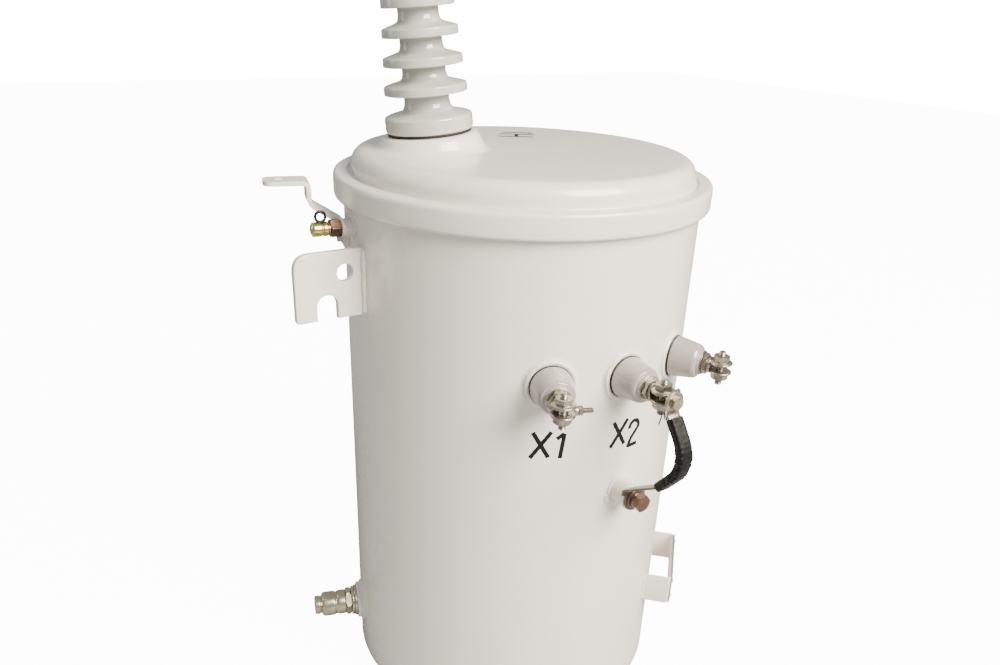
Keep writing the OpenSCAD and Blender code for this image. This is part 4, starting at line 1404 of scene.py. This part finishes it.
@dataclass
class LowVoltageSide:
    """The three low voltage bushings with their gasket rings."""

    looks: Finishes

    def build(self) -> None:
        """Make the bushings and the rings between them and the collars."""
        rings = Shape("lv_gasket_rings")
        thick = SIZES.lv_foot - SIZES.lv_collar
        outline = rounded([(15.4, 0, 0.3), (24.2, 0, 0.8), (24.2, thick, 0.8), (15.4, thick, 0.3)])
        for post in Post:
            bushing = LowVoltageBushing(self.looks, post)
            bushing.build()
            rings.lathe(outline, bushing.place(SIZES.lv_collar), 96)
        rings.finished("gasket_rubber", [self.looks.gasket], "lv_gaskets")


@dataclass
class GroundStrap:
    """Boss, bolt and lugs of the ground strap, and its wrinkled sleeve."""

    looks: Finishes
    boss_r: float = 16.5
    lug_t: float = 3.0
    lug_w: float = 18.0
    bend_r: float = 38.0
    top_slope: float = 54.0
    low_slope: float = 50.0
    low_bend: float = 15.0

    def build(self) -> None:
        """Make every piece from the boss up to the screw on the middle clamp."""
        self.boss()
        self.bolt()
        self.lug_top()
        self.screw()
        self.lug_bottom()
        self.sleeve()

    def top(self) -> Point2:
        """Radius and height where the sleeve starts."""
        return SIZES.tank_r + SIZES.lug_plane + self.lug_t / 2 + 3, SIZES.lv_z - 17

    def low(self) -> Point2:
        """Radius and height where the sleeve ends."""
        return SIZES.tank_r + SIZES.ground_h + 50, SIZES.ground_z + 45

    @staticmethod
    def at_boss(lift: float) -> Matrix:
        """Place on the boss axis, which is beside the middle of the strap."""
        return shift(SIZES.ground_x, 0, 0) @ radial(0, SIZES.ground_z, SIZES.tank_r + lift)

    def boss(self) -> None:
        """Round boss with its weld bead and a stray blob of weld."""
        h = SIZES.ground_h
        r = self.boss_r
        outline = rounded(
            [(0, -2.8, 0), (r, -2.8, 0), (r, h, 2.6), (6.2, h, 0.6), (6.2, 4, 0), (0, 4, 0)], closed=False
        )
        shape = Shape("ground_boss_turned").lathe(outline, self.at_boss(0), 96)
        side = math.degrees(math.asin(SIZES.ground_x / SIZES.tank_r))
        shape.loop(ring_on_wall(side, SIZES.ground_z, r + 0.8, 130), bead(2.6))
        blob = rounded(
            [(0, -2, 0), (5.5, -2, 0), (5.2, 0.6, 1.2), (2.6, 3.0, 2.4), (0, 3.4, 0)], closed=False
        )
        for x, y, size in ((-17.5, -10.5, 1.0), (-13.0, -16.0, 0.8), (-20.5, -5.0, 0.6)):
            azimuth = math.degrees((x + SIZES.ground_x) / SIZES.tank_r)
            spot = radial(azimuth, SIZES.ground_z + y, SIZES.tank_r)
            shape.lathe([(r * size, z * size) for r, z in blob], spot, 28)
        shape.finished("tank_paint", [self.looks.paint], "ground_boss")

    def bolt(self) -> None:
        """Hexagon bolt on a broad washer and two lock rings."""
        place = self.at_boss(SIZES.ground_h + self.lug_t)
        shape = Shape("ground_bolt_flanged")
        shank = rounded([(0, -20, 0), (6, -20, 1), (6, 0.2, 0), (0, 0.2, 0)], closed=False)
        shape.lathe(shank, place, 40)
        washer = rounded(
            [(0, 0, 0), (12.8, 0, 0.3), (13, 1.0, 0.5), (12.4, 2.0, 0.5), (0, 2.0, 0)], closed=False
        )
        shape.lathe(washer, place, 72, 1)
        for low in (2.0, 4.6):
            top = low + 2.4
            ring = rounded([(0, low, 0), (9.3, low, 0.7), (9.3, top, 0.7), (0, top, 0)], closed=False)
            shape.lathe(ring, place, 64, 2)
        shape.hexagon(19.0, 7.6, place @ shift(0, 0, 7.0) @ turn(9, "Z"))
        stamp = rounded(
            [(0, 0, 0), (6.2, 0, 0.2), (6.6, 0.4, 0.3), (5.6, 0.7, 0.2), (4.9, 0.4, 0.2), (0, 0.35, 0)],
            closed=False,
        )
        shape.lathe(stamp, place @ shift(0, 0, 14.3), 48)
        materials = [self.looks.aged_brass, self.looks.olive, self.looks.copper]
        shape.finished("yellow_zinc", materials, "ground_bolt")

    def tongue(
        self, shape: Shape, radius: float, centre: Corner, bend: float, end: Point2, hole: float
    ) -> None:
        """Round lug that narrows to a strap and bends into the sleeve.

        Args:
            shape: The lug's piece.
            radius: Radius of the round end.
            centre: Radius from the tank axis, height and sideways place of the round end.
            bend: Height of the bend.
            end: Radius and height where the strap goes into the sleeve.
            hole: Radius of the hole.
        """
        r, z, aside = centre
        toward = 1.0 if bend > z else -1.0
        half = self.lug_w * 0.465
        start = (r, bend - toward * 2)
        outer = arc_points((aside, 0.0), (radius, toward * radius), range(150, 391, 5))
        edge = [(-half, start[1] - z), *outer, (half, start[1] - z)]
        bore = circle(hole, 40, aside)
        shape.plate(edge, [bore], self.lug_t, 0.7, radial(0, z, r - self.lug_t / 2))
        knee = [(r, bend - toward * 6), (r, bend - toward * 4), start]
        dr, dz = end[0] - r, end[1] - bend
        length = math.hypot(dr, dz)
        after = (r + dr / length * 2, bend + dz / length * 2)
        for k in range(9):
            t = k / 8
            weights = ((1 - t) ** 2, 2 * t * (1 - t), t * t)
            corners = (start, (r, bend), after)
            knee.append(tuple(sum(w * c[i] for w, c in zip(weights, corners)) for i in (0, 1)))
        knee.append((end[0] + dr / length * 6, end[1] + dz / length * 6))
        path = [Vector((0, -rr, zz)) for rr, zz in knee]
        shape.sweep(path, Vector((1, 0, 0)), bar_section(half * 2, self.lug_t - 0.1, 0.8))

    def lug_top(self) -> None:
        """Lug screwed to the middle clamp."""
        s = SIZES
        r = s.tank_r + s.lug_plane + self.lug_t / 2
        shape = Shape("ground_lug_top_tongue")
        bend = self.top()[1] + 3 * math.tan(math.radians(self.top_slope))
        self.tongue(shape, 12.0, (r, s.lv_z, 0.0), bend, self.top(), 4.4)
        shape.finished("tinned_bronze", [self.looks.tin], "ground_lug_top")

    def screw(self) -> None:
        """Screw with a hexagon head and a lock washer."""
        s = SIZES
        place = radial(0, s.lv_z, s.tank_r + s.lug_plane)
        shape = Shape("ground_lug_screw_hex")
        shank = rounded([(0, -2.1, 0), (4, -2.1, 0.3), (4, 3.2, 0), (0, 3.2, 0)], closed=False)
        shape.lathe(shank, place, 40)
        washer = rounded([(0, 3, 0), (7.6, 3, 0.3), (7.6, 4.2, 0.4), (0, 4.2, 0)], closed=False)
        shape.lathe(washer, place, 48)
        shape.hexagon(13.6, 3.9, place @ shift(0, 0, 4.1) @ turn(21, "Z"))
        shape.finished("yellow_zinc", [self.looks.yellow_zinc], "ground_lug_screw")

    def lug_bottom(self) -> None:
        """Lug under the flanged bolt."""
        s = SIZES
        r = s.tank_r + s.ground_h + self.lug_t / 2
        shape = Shape("ground_lug_bottom_tongue")
        self.tongue(shape, 15.5, (r, s.ground_z, s.ground_x), s.ground_z + self.low_bend, self.low(), 6.3)
        shape.finished("yellow_zinc", [self.looks.olive], "ground_lug_bottom")

    def sleeve_path(self) -> list[Vector]:
        """Centre line of the sleeve from the upper to the lower lug."""
        top, low = self.top(), self.low()
        a, b = math.radians(self.top_slope), math.radians(self.low_slope)
        dr, dz = low[0] - top[0], low[1] - top[1]
        meet = math.sin(a + b)
        cut = self.bend_r * math.tan((math.pi - a - b) / 2)
        top_l = (dr * math.sin(b) - dz * math.cos(b)) / meet - cut
        end = (top[0] + top_l * math.cos(a), top[1] - top_l * math.sin(a))
        mid = (end[0] - self.bend_r * math.sin(a), end[1] - self.bend_r * math.cos(a))
        dr, dz = end[0] - top[0], end[1] - top[1]
        points = [(top[0] + dr * k / 24, top[1] + dz * k / 24) for k in range(24)]
        high_a, low_a = 90 - self.top_slope, self.low_slope - 90
        bend = [high_a + (low_a - high_a) * k / 60 for k in range(61)]
        points += arc_points(mid, (self.bend_r, self.bend_r), bend)
        last = points[-1]
        dr, dz = low[0] - last[0], low[1] - last[1]
        points += [(last[0] + dr * k / 32, last[1] + dz * k / 32) for k in range(1, 33)]
        return [Vector((0, -r, z)) for r, z in points]

    def sleeve(self) -> None:
        """Heat shrink sleeve, stiff and square at the ends and wrinkled where it bends."""

        def crease(t: float, angle: float) -> float:
            """Swell of the sleeve: soft folds where it bends, a clean mouth at both ends."""
            folds = math.exp(-(((t - 0.55) / 0.30) ** 2))
            wave = noise.noise(Vector((math.cos(angle) * 1.4, math.sin(angle) * 1.4, t * 34.0)))
            fine = noise.noise(Vector((math.cos(angle) * 3.0, math.sin(angle) * 3.0, t * 75.0 + 9.0)))
            mouth = min(1.0, min(t, 1 - t) * 60.0)
            return 0.965 + 0.035 * mouth + folds * (0.13 * wave + 0.07 * fine) - 0.02 * (1 - folds)

        shape = Shape("ground_strap_sleeve")
        section = rounded([(-9, -5.5, 3.6), (9, -5.5, 3.6), (9, 5.5, 3.6), (-9, 5.5, 3.6)], steps=7)
        dense = divided(section, 1.2, closed=True)
        path = self.sleeve_path()
        finer = [a.lerp(b, i / 2) for a, b in zip(path, path[1:]) for i in range(2)] + [path[-1]]
        shape.sweep(finer, Vector((1, 0, 0)), dense, 0, crease)
        shape.finished("black_sleeve", [self.looks.sleeve], "ground_strap")


@dataclass
class LiftingLug:
    """Plate with a hole and a sling notch, welded to the wall on one side."""

    looks: Finishes
    name: str
    azimuth: float
    thick: float = 8.0
    out: float = 80.0
    low: float = 520.0
    high: float = 596.0

    def build(self) -> None:
        """Make the plate and its two weld beads."""
        r0, r1 = SIZES.tank_r - 2.0, SIZES.tank_r + self.out
        notch_r, notch_x, notch_z = 12.0, SIZES.tank_r + 44, self.low + 16
        arch = arc_points((notch_x, notch_z), (-notch_r, notch_r), [7.5 * k for k in range(25)])
        edge = [(r0, self.low), (notch_x - notch_r, self.low), *arch, (notch_x + notch_r, self.low)]
        corners = [(r0, self.low, 0), (r1, self.low, 4), (r1, self.high, 19), (r0, self.high, 0)]
        edge += rounded(corners, closed=False, steps=12)[1:]
        hole = circle(9.5, 48, SIZES.tank_r + 22, self.low + 51)
        shape = Shape(f"{self.name}_plate")
        shape.plate(edge, [hole], self.thick, 1.1, upright(self.azimuth) @ shift(0, 0, -self.thick / 2))
        arc = math.radians(self.azimuth) * SIZES.tank_r
        weld_pair(shape, arc, self.thick / 2 + 1.2, self.low + 1, self.high - 1, 0.4, 3.2)
        shape.finished("tank_paint", [self.looks.paint], self.name)


@dataclass
class SupportLug:
    """Bent channel on the pole side with an open slot for the pole bolt."""

    looks: Finishes
    name: str
    foot: float
    high: float = 90.0
    half: float = 58.0
    thick: float = 6.0
    face: float = 270.0
    slot_w: float = 17.5
    slot_l: float = 50.0

    def build(self) -> None:
        """Make the channel, its slot and the welds to the wall."""
        t, half, face = self.thick, self.half, self.face
        side_y = math.sqrt(SIZES.tank_r**2 - half**2) - 1.5
        outline = rounded(
            [
                (-half, side_y, 0), (-half, face, 9), (half, face, 9), (half, side_y, 0),
                (half - t, side_y, 0), (half - t, face - t, 4),
                (t - half, face - t, 4), (t - half, side_y, 0),
            ],
            steps=7,
        )
        shape = Shape(f"{self.name}_channel").prism(outline, self.foot, self.foot + self.high, PLAIN)
        mid = self.slot_l - self.slot_w / 2
        r = self.slot_w / 2
        slot = [(-r, -10), (r, -10), *arc_points((0, mid), (r, r), range(0, 181, 9))]
        across = shift(0, face, self.foot) @ turn(90, "X")
        cutter = Shape(f"{self.name}_slot").prism(slot, -t * 2, t * 2, across)
        shape.carved(cutter, 1.0)
        reach = math.asin(half / SIZES.tank_r) * SIZES.tank_r + 1.0
        top = self.foot + self.high
        weld_pair(shape, math.pi * SIZES.tank_r, reach, self.foot + 1, top - 1, 0.3, 3.4)
        shape.finished("tank_paint", [self.looks.paint], self.name)


@dataclass
class ArresterBracket:
    """Bent bar with a level pad and the bolt in its foot."""

    looks: Finishes
    azimuth: float = -106.0
    width: float = 32.0
    thick: float = 5.0
    foot: float = 583.0
    slope_foot: float = 611.0
    pad_top: float = 659.0
    out: float = 43.0
    pad_l: float = 50.0
    tip_ease: float = 10.0

    def build(self) -> None:
        """Make the bar with its hole, the weld at its foot and the bolt."""
        r, t = SIZES.tank_r, self.thick
        inner = r + self.out - t
        slope_top = self.slope_foot + (self.out - t) * 0.62
        fold = t * 0.55
        low = self.pad_top - t
        end = inner + self.pad_l
        outline = rounded(
            [
                (r, self.foot, 0.4), (r + t, self.foot, 0.8), (r + t, self.slope_foot - fold, 5),
                (inner + t, slope_top - fold, 8), (inner + t, low, 3.0), (end, low, 0.5),
                (end, self.pad_top, 0.5), (inner, self.pad_top, 7), (inner, slope_top, 5),
                (r, self.slope_foot, 8),
            ],
            steps=6,
        )
        half = self.width / 2
        shape = Shape("arrester_bracket_bar").prism(outline, -half, half, upright(self.azimuth))
        spin = turn(self.azimuth, "Z")
        under, over = low - t, self.pad_top + t
        at = inner + self.pad_l * 0.62
        cutter = Shape("arrester_hole").prism(circle(6.5, 40), under, over, spin @ shift(0, -at, 0))
        ease = self.tip_ease
        for side in (-1, 1):
            x0, x1, y0, y1 = side * (half - ease), side * (half + 2), ease - end, -(end + 2)
            tip = arc_points((x0, y0), (side * ease, -ease), [90 - 7.5 * k for k in range(13)])
            cutter.prism([*tip, (x1, y0), (x1, y1), (x0, y1)], under, over, spin)
        shape.carved(cutter, 0.8)
        arc = math.radians(self.azimuth) * r
        weld_pair(shape, arc, half + 0.8, self.foot + 1, self.slope_foot - 4, 0.5, 2.4)
        shape.finished("tank_paint", [self.looks.paint], "arrester_bracket")
        place = radial(self.azimuth, self.foot + 10, r + t)
        bolt = Shape("arrester_bolt_hex")
        washer = rounded([(0, 0, 0), (6.9, 0, 0.2), (6.9, 0.9, 0.3), (0, 0.9, 0)], closed=False)
        bolt.lathe(washer, place, 40)
        bolt.hexagon(12.1, 5.2, place @ shift(0, 0, 0.8) @ turn(14, "Z"))
        bolt.finished("zinc_steel", [self.looks.steel], "arrester_bolt")


@dataclass
class ReliefValve:
    """Pressure relief valve with a welded boss and a pull ring."""

    looks: Finishes
    azimuth: float = -97.0
    z: float = 612.0
    boss_h: float = 14.0
    body_r: float = 8.0
    ring_r: float = 5.5

    def build(self) -> None:
        """Make the valve, its boss, its weld bead and its ring."""
        place = radial(self.azimuth, self.z, SIZES.tank_r)
        shape = Shape("relief_valve_turned")
        h = self.boss_h
        boss = rounded([(0, -2, 0), (10, -2, 0), (10, h - 0.4, 0.9), (8, h, 0.4), (0, h, 0)], closed=False)
        shape.lathe(boss, place, 64, 2)
        at = place @ shift(0, 0, h)
        shape.hexagon(18.2, 12.0, at @ turn(8, "Z"), 3)
        body = rounded(
            [
                (0, 12, 0), (7.0, 12, 0.3), (7.0, 14, 0.5), (self.body_r, 14.6, 0.5), (self.body_r, 19, 0.5),
                (7.1, 19.6, 0.4), (7.1, 21, 0.4), (self.body_r, 21.6, 0.5), (self.body_r, 31, 1.6),
                (4.0, 33, 0.8), (0, 33, 0),
            ],
            closed=False,
        )
        shape.lathe(body, at, 64)
        centre = Vector((0, self.body_r + self.ring_r, 21.5))
        turned = [Vector((0, y, z)) for y, z in circle(self.ring_r, 48)]
        shape.loop([at @ (centre + point) for point in turned], circle(1.7, 10), 1)
        shape.loop(ring_on_wall(self.azimuth, self.z, 10.5, 80), bead(1.8), 2)
        looks = self.looks
        materials = [looks.bright_brass, looks.dark_steel, looks.paint, looks.aged_brass]
        shape.finished("valve_brass", materials, "relief_valve")


@dataclass
class DrainValve:
    """Boss on the wall and the drain valve in it."""

    looks: Finishes
    azimuth: float = -108.0
    z: float = 66.0

    def build(self) -> None:
        """Make the boss and the valve."""
        r = SIZES.tank_r
        place = radial(self.azimuth, self.z, r)
        boss = rounded([(0, -1.8, 0), (25, -1.8, 0), (25, 7, 2.4), (0, 7, 0)], closed=False)
        shape = Shape("drain_boss_turned").lathe(boss, place, 96)
        shape.loop(ring_on_wall(self.azimuth, self.z, 25.6, 160), bead(2.6))
        shape.finished("tank_paint", [self.looks.paint], "drain_boss")
        valve = Shape("drain_valve_turned")
        at = place @ shift(0, 0, 7)
        rings = rounded(
            [
                (0, 0, 0), (21.2, 0, 0.8), (21.5, 2, 0.8), (21.2, 3.7, 1), (19.0, 4.0, 0.6), (20, 4.4, 0.6),
                (20, 7.4, 1), (17.5, 8, 0.8), (0, 8, 0),
            ],
            closed=False,
        )
        valve.lathe(rings, at, 96)
        valve.hexagon(32.9, 8.0, at @ shift(0, 0, 8) @ turn(12, "Z"))
        body = rounded(
            [
                (0, 15, 0), (15.5, 15.6, 0.5), (17, 17, 1.0), (17, 26, 1.2), (15.6, 27.6, 0.8),
                (15.6, 30, 0.8), (17, 31.4, 0.8), (17, 47, 2.4), (13.6, 49, 1.0), (11.6, 50.4, 0.8),
                (13, 51.4, 0.8), (13, 58, 1.2), (9, 59, 0.6), (8.4, 56, 0.6), (0, 56, 0),
            ],
            closed=False,
        )
        valve.lathe(body, at, 96)
        valve.finished("valve_brass", [self.looks.brass], "drain_valve")


@dataclass
class Nameplate:
    """Bent strap on the wall with a blank riveted plate."""

    looks: Finishes
    azimuth: float = 44.0
    low: float = 112.0
    high: float = 42.0
    half: float = 54.0
    thick: float = 3.0
    face: float = 239.0

    def build(self) -> None:
        """Make the strap, its welds, the plate and the rivets."""
        t, half, face = self.thick, self.half, self.face
        side_y = -(math.sqrt(SIZES.tank_r**2 - half**2) - 1.5)
        outline = rounded(
            [
                (-half, side_y, 0), (-half, -face, 6), (half, -face, 6), (half, side_y, 0),
                (half - t, side_y, 0), (half - t, t - face, 3.4),
                (t - half, t - face, 3.4), (t - half, side_y, 0),
            ],
            steps=7,
        )
        place = turn(self.azimuth, "Z") @ shift(0, 0, self.low)
        shape = Shape("nameplate_strap").plate(outline, (), self.high, 0.7, place)
        reach = math.asin(half / SIZES.tank_r) * SIZES.tank_r + 0.8
        middle = math.radians(self.azimuth) * SIZES.tank_r
        weld_pair(shape, middle, reach, self.low + 1, self.low + self.high - 1, 0.3, 2.0)
        shape.finished("tank_paint", [self.looks.paint], "nameplate_bracket")
        self.plate()

    def plate(self) -> None:
        """Blank plate with a pressed border and four domed rivets."""
        place = radial(self.azimuth, self.low, self.face)
        rise = -4.0
        edge = rounded([(-52, rise, 4), (52, rise, 4), (52, rise + 50, 4), (-52, rise + 50, 4)])
        shape = Shape("nameplate_blank").plate(edge, (), 1.2, 0.35, place)
        low, high = rise + 4, rise + 46
        border = rounded([(-48, low, 3), (48, low, 3), (48, high, 3), (-48, high, 3)], steps=6)
        line = [place @ Vector((x, y, 1.15)) for x, y in divided(border, 3, closed=True)]
        shape.loop(line, circle(0.5, 8))
        head = rounded(
            [(0, 0, 0), (3.0, 0, 0.3), (2.9, 0.9, 0.7), (1.6, 1.9, 0.9), (0, 2.0, 0)], closed=False
        )
        for x in (-46, 46):
            for y in (8.4, 33.6):
                shape.lathe(head, place @ shift(x, y, 1.2), 32)
        shape.finished("plate_metal", [self.looks.plate], "nameplate")


@dataclass
class Markings:
    """Painted terminal marks: plain strokes on the wall and on the dome."""

    looks: Finishes
    cover: Cover
    width: float = 4.8

    def build(self) -> None:
        """Paint the marks of the three low voltage posts and of the high voltage post."""
        shape = Shape("terminal_marks")
        low, high = 392.5, 424.0
        for left in (-107.5, -10.5, 80.0):
            self.cross(shape, left, low, 22.5, high - low)
        one = -72.0
        self.stroke(shape, [(one - 1.6, low - 2), (one + 2.0, high - 3)], self.on_tank)
        self.stroke(shape, [(one + 1.6, high - 3), (one - 6.4, high - 9)], self.on_tank)
        self.stroke(shape, self.two(16.5, 387.5, 15.0, 31.0), self.on_tank)
        self.stroke(shape, self.three(107.5, 388.0, 14.0, 30.0), self.on_tank)
        mark = (
            ((-25, -11), (19, -11)), ((-22, 11), (22, 11)), ((-3, -11), (0, 11)),
            ((-17, 27), (21, 27)), ((21, 27), (15, 22)),
        )
        for line in mark:
            self.stroke(shape, line, self.on_dome)
        shape.finished("tank_paint", [self.looks.marking])

    def on_tank(self, x: float, y: float, lift: float) -> Vector:
        """Point over the tank wall from arc length and height."""
        a = x / SIZES.tank_r
        return on_wall(x, y, SIZES.tank_r + wall_wave(math.sin(a), -math.cos(a), y) + lift)

    def on_dome(self, x: float, y: float, lift: float) -> Vector:
        """Point over the dome near its back edge; the mark there lies on its side."""
        flat = turn(150, "Z") @ Vector((-x, -92.0 - y, 0))
        return Vector((flat.x, flat.y, self.cover.dome_at(flat.x, flat.y) + lift))

    def cross(self, shape: Shape, left: float, low: float, wide: float, high: float) -> None:
        """Two strokes that cross, leaning a little."""
        lean = high * 0.06
        self.stroke(shape, [(left, low), (left + wide, high + low)], self.on_tank)
        self.stroke(shape, [(left + wide - lean, low), (left + lean, high + low)], self.on_tank)

    @staticmethod
    def two(x: float, y: float, wide: float, high: float) -> list[Point2]:
        """Line of a plain figure two."""
        r = wide / 2
        top = arc_points((x + r, y + high - r), (-r, r), range(-10, 206, 12))
        return [*top, (x + r * 0.6, y + high * 0.32), (x, y), (x + wide, y)]

    @staticmethod
    def three(x: float, y: float, wide: float, high: float) -> list[Point2]:
        """Line of a plain figure three."""
        r = high / 4
        wide_r = r * 1.2
        middle = x + wide - wide_r
        upper = arc_points((middle, y + high - r), (wide_r, r), range(150, -91, -16))
        lower = arc_points((middle, y + r), (r * 1.3, r), range(90, -151, -16))
        return [*upper, *lower]

    def stroke(
        self, shape: Shape, line: Sequence[Point2], lay: Callable[[float, float, float], Vector]
    ) -> None:
        """Lay a thin band of paint along a line.

        Args:
            shape: The piece that gets the paint.
            line: Points of the stroke.
            lay: Puts a point of the stroke on the surface.
        """
        dense = divided(line, 1.5)
        rings = []
        for i, (x, y) in enumerate(dense):
            bx, by = dense[max(i - 1, 0)]
            ax, ay = dense[min(i + 1, len(dense) - 1)]
            length = math.hypot(ax - bx, ay - by) or 1.0
            nx, ny = -(ay - by) / length, (ax - bx) / length
            half = self.width / 2 * (1 + 0.05 * math.sin(i * 1.3))
            corners = ((-half, 0.0), (-half, 0.13), (0.0, 0.16), (half, 0.13), (half, 0.0), (0.0, -0.03))
            rings.append([shape.corner(lay(x + nx * w, y + ny * w, h + 0.06)) for w, h in corners])
        shape.tube(rings)


# ---------------------------------------------------------------- camera, light and floor


@dataclass(frozen=True)
class Camera:
    """Camera of the main view: azimuth in degrees, places in millimetres, other angles in radians."""

    azimuth: float = -35.5
    distance: float = 1006.975
    height: float = 847.39
    yaw: float = 0.0156
    pitch: float = 0.4506
    roll: float = 0.0413
    lens: float = 30.09
    shift_up: float = 0.0675

    def place(self) -> bpy.types.Object:
        """Add the camera and make it the scene's.

        Returns:
            The camera object.
        """
        right = Vector((math.cos(self.yaw), math.sin(self.yaw), 0))
        level = Vector((-math.sin(self.yaw), math.cos(self.yaw), 0))
        up0 = Vector((0, 0, 1))
        ahead = level * math.cos(self.pitch) - up0 * math.sin(self.pitch)
        up = level * math.sin(self.pitch) + up0 * math.cos(self.pitch)
        across = right * math.cos(self.roll) + up * math.sin(self.roll)
        over = up * math.cos(self.roll) - right * math.sin(self.roll)
        basis = Matrix((across, over, -ahead)).transposed().to_4x4()
        spin = turn(self.azimuth, "Z")
        spot = spin @ Vector((0, -self.distance, self.height)) * MM
        data = bpy.data.cameras.new("main_camera")
        data.sensor_width = 36.0
        data.lens = self.lens
        data.shift_y = self.shift_up
        data.dof.use_dof = False
        data.clip_start = 0.05
        camera = added("main_camera", data)
        camera.matrix_world = Matrix.Translation(spot) @ spin @ basis
        bpy.context.scene.camera = camera
        return camera


@dataclass(frozen=True)
class SoftBox:
    """Large soft light aimed at the object."""

    name: str
    azimuth: float
    elevation: float
    distance: float
    wide: float
    high: float
    power: float
    color: Color = (1.0, 1.0, 1.0)
    aim: float = 0.45

    def place(self) -> bpy.types.Object:
        """Add the light.

        Returns:
            The light object.
        """
        data = bpy.data.lights.new(self.name, "AREA")
        data.shape = "RECTANGLE"
        data.size, data.size_y = self.wide, self.high
        data.energy = self.power
        data.color = self.color
        light = added(self.name, data)
        lift = math.radians(self.elevation)
        flat = turn(self.azimuth, "Z") @ Vector((0, -self.distance * math.cos(lift), 0))
        spot = Vector((flat.x, flat.y, self.aim + self.distance * math.sin(lift)))
        toward = Vector((0, 0, self.aim)) - spot
        light.matrix_world = Matrix.Translation(spot) @ toward.to_track_quat("-Z", "Y").to_matrix().to_4x4()
        return light


@dataclass
class Studio:
    """Pale floor, pale surroundings and soft lights."""

    floor_size: float = 16.0
    sky: Color = (0.93, 1.0, 0.945)
    sky_strength: float = 0.52
    backdrop: float = 16.0
    boxes: tuple[SoftBox, ...] = (
        SoftBox("key_box", 15.0, 38.0, 3.2, 1.9, 1.9, 430.0, (1.0, 0.91, 0.82)),
        SoftBox("side_box", -125.0, 20.0, 2.6, 0.6, 1.8, 8.0, (0.97, 0.985, 1.0)),
    )

    def build(self) -> None:
        """Add everything around the object."""
        self.floor()
        self.world()
        for box in self.boxes:
            box.place()

    def floor(self) -> None:
        """Plain pale floor under the object."""
        half = self.floor_size / 2
        data = bpy.data.meshes.new("studio_floor")
        corners = [(-half, -half, 0), (half, -half, 0), (half, half, 0), (-half, half, 0)]
        data.from_pydata(corners, [], [(0, 1, 2, 3)])
        material = bpy.data.materials.new("studio_floor")
        material.use_nodes = True
        tree = material.node_tree
        shader = tree.nodes["Principled BSDF"]
        shader.inputs["Base Color"].default_value = (0.38, 0.38, 0.38, 1.0)
        shader.inputs["Roughness"].default_value = 0.95
        shader.inputs["Emission Color"].default_value = (1.0, 1.0, 1.0, 1.0)
        tree.links.new(self.seen_only(tree, 0.0, self.backdrop * 0.8), shader.inputs["Emission Strength"])
        data.materials.append(material)
        added("studio_floor", data)

    @staticmethod
    def seen_only(tree: bpy.types.NodeTree, lighting: float, seen: float) -> bpy.types.NodeSocket:
        """Brightness that is one value for the lighting and another for what is seen directly.

        Args:
            tree: Node tree of the floor or the world.
            lighting: Value for light that falls on the object.
            seen: Value for the view itself.

        Returns:
            The value socket.
        """
        path = tree.nodes.new("ShaderNodeLightPath")
        mix = tree.nodes.new("ShaderNodeMapRange")
        tree.links.new(path.outputs["Is Camera Ray"], mix.inputs["Value"])
        mix.inputs["To Min"].default_value = lighting
        mix.inputs["To Max"].default_value = seen
        return mix.outputs["Result"]

    def world(self) -> None:
        """Even pale surroundings."""
        world = bpy.data.worlds.new("studio_world")
        world.use_nodes = True
        tree = world.node_tree
        back = tree.nodes["Background"]
        back.inputs["Color"].default_value = (*self.sky, 1.0)
        tree.links.new(self.seen_only(tree, self.sky_strength, self.backdrop), back.inputs["Strength"])
        bpy.context.scene.world = world


# ---------------------------------------------------------------- build


def main() -> None:
    """Build every sub-assembly, then the camera, the light and the floor."""
    logging.basicConfig(level=logging.INFO, format="%(name)s: %(message)s")
    looks = Finishes()
    cover = Cover(looks)
    parts = [
        Tank(looks), cover, HighVoltageBushing(looks), LowVoltageSide(looks), GroundStrap(looks),
        LiftingLug(looks, "lifting_lug_left", -90.0), LiftingLug(looks, "lifting_lug_right", 90.0),
        SupportLug(looks, "support_lug_upper", 476.0), SupportLug(looks, "support_lug_lower", 190.0),
        ArresterBracket(looks), ReliefValve(looks), DrainValve(looks), Nameplate(looks),
        Markings(looks, cover),
    ]
    for part in parts:
        part.build()
    Camera().place()
    Studio().build()


if __name__ == "__main__":
    main()
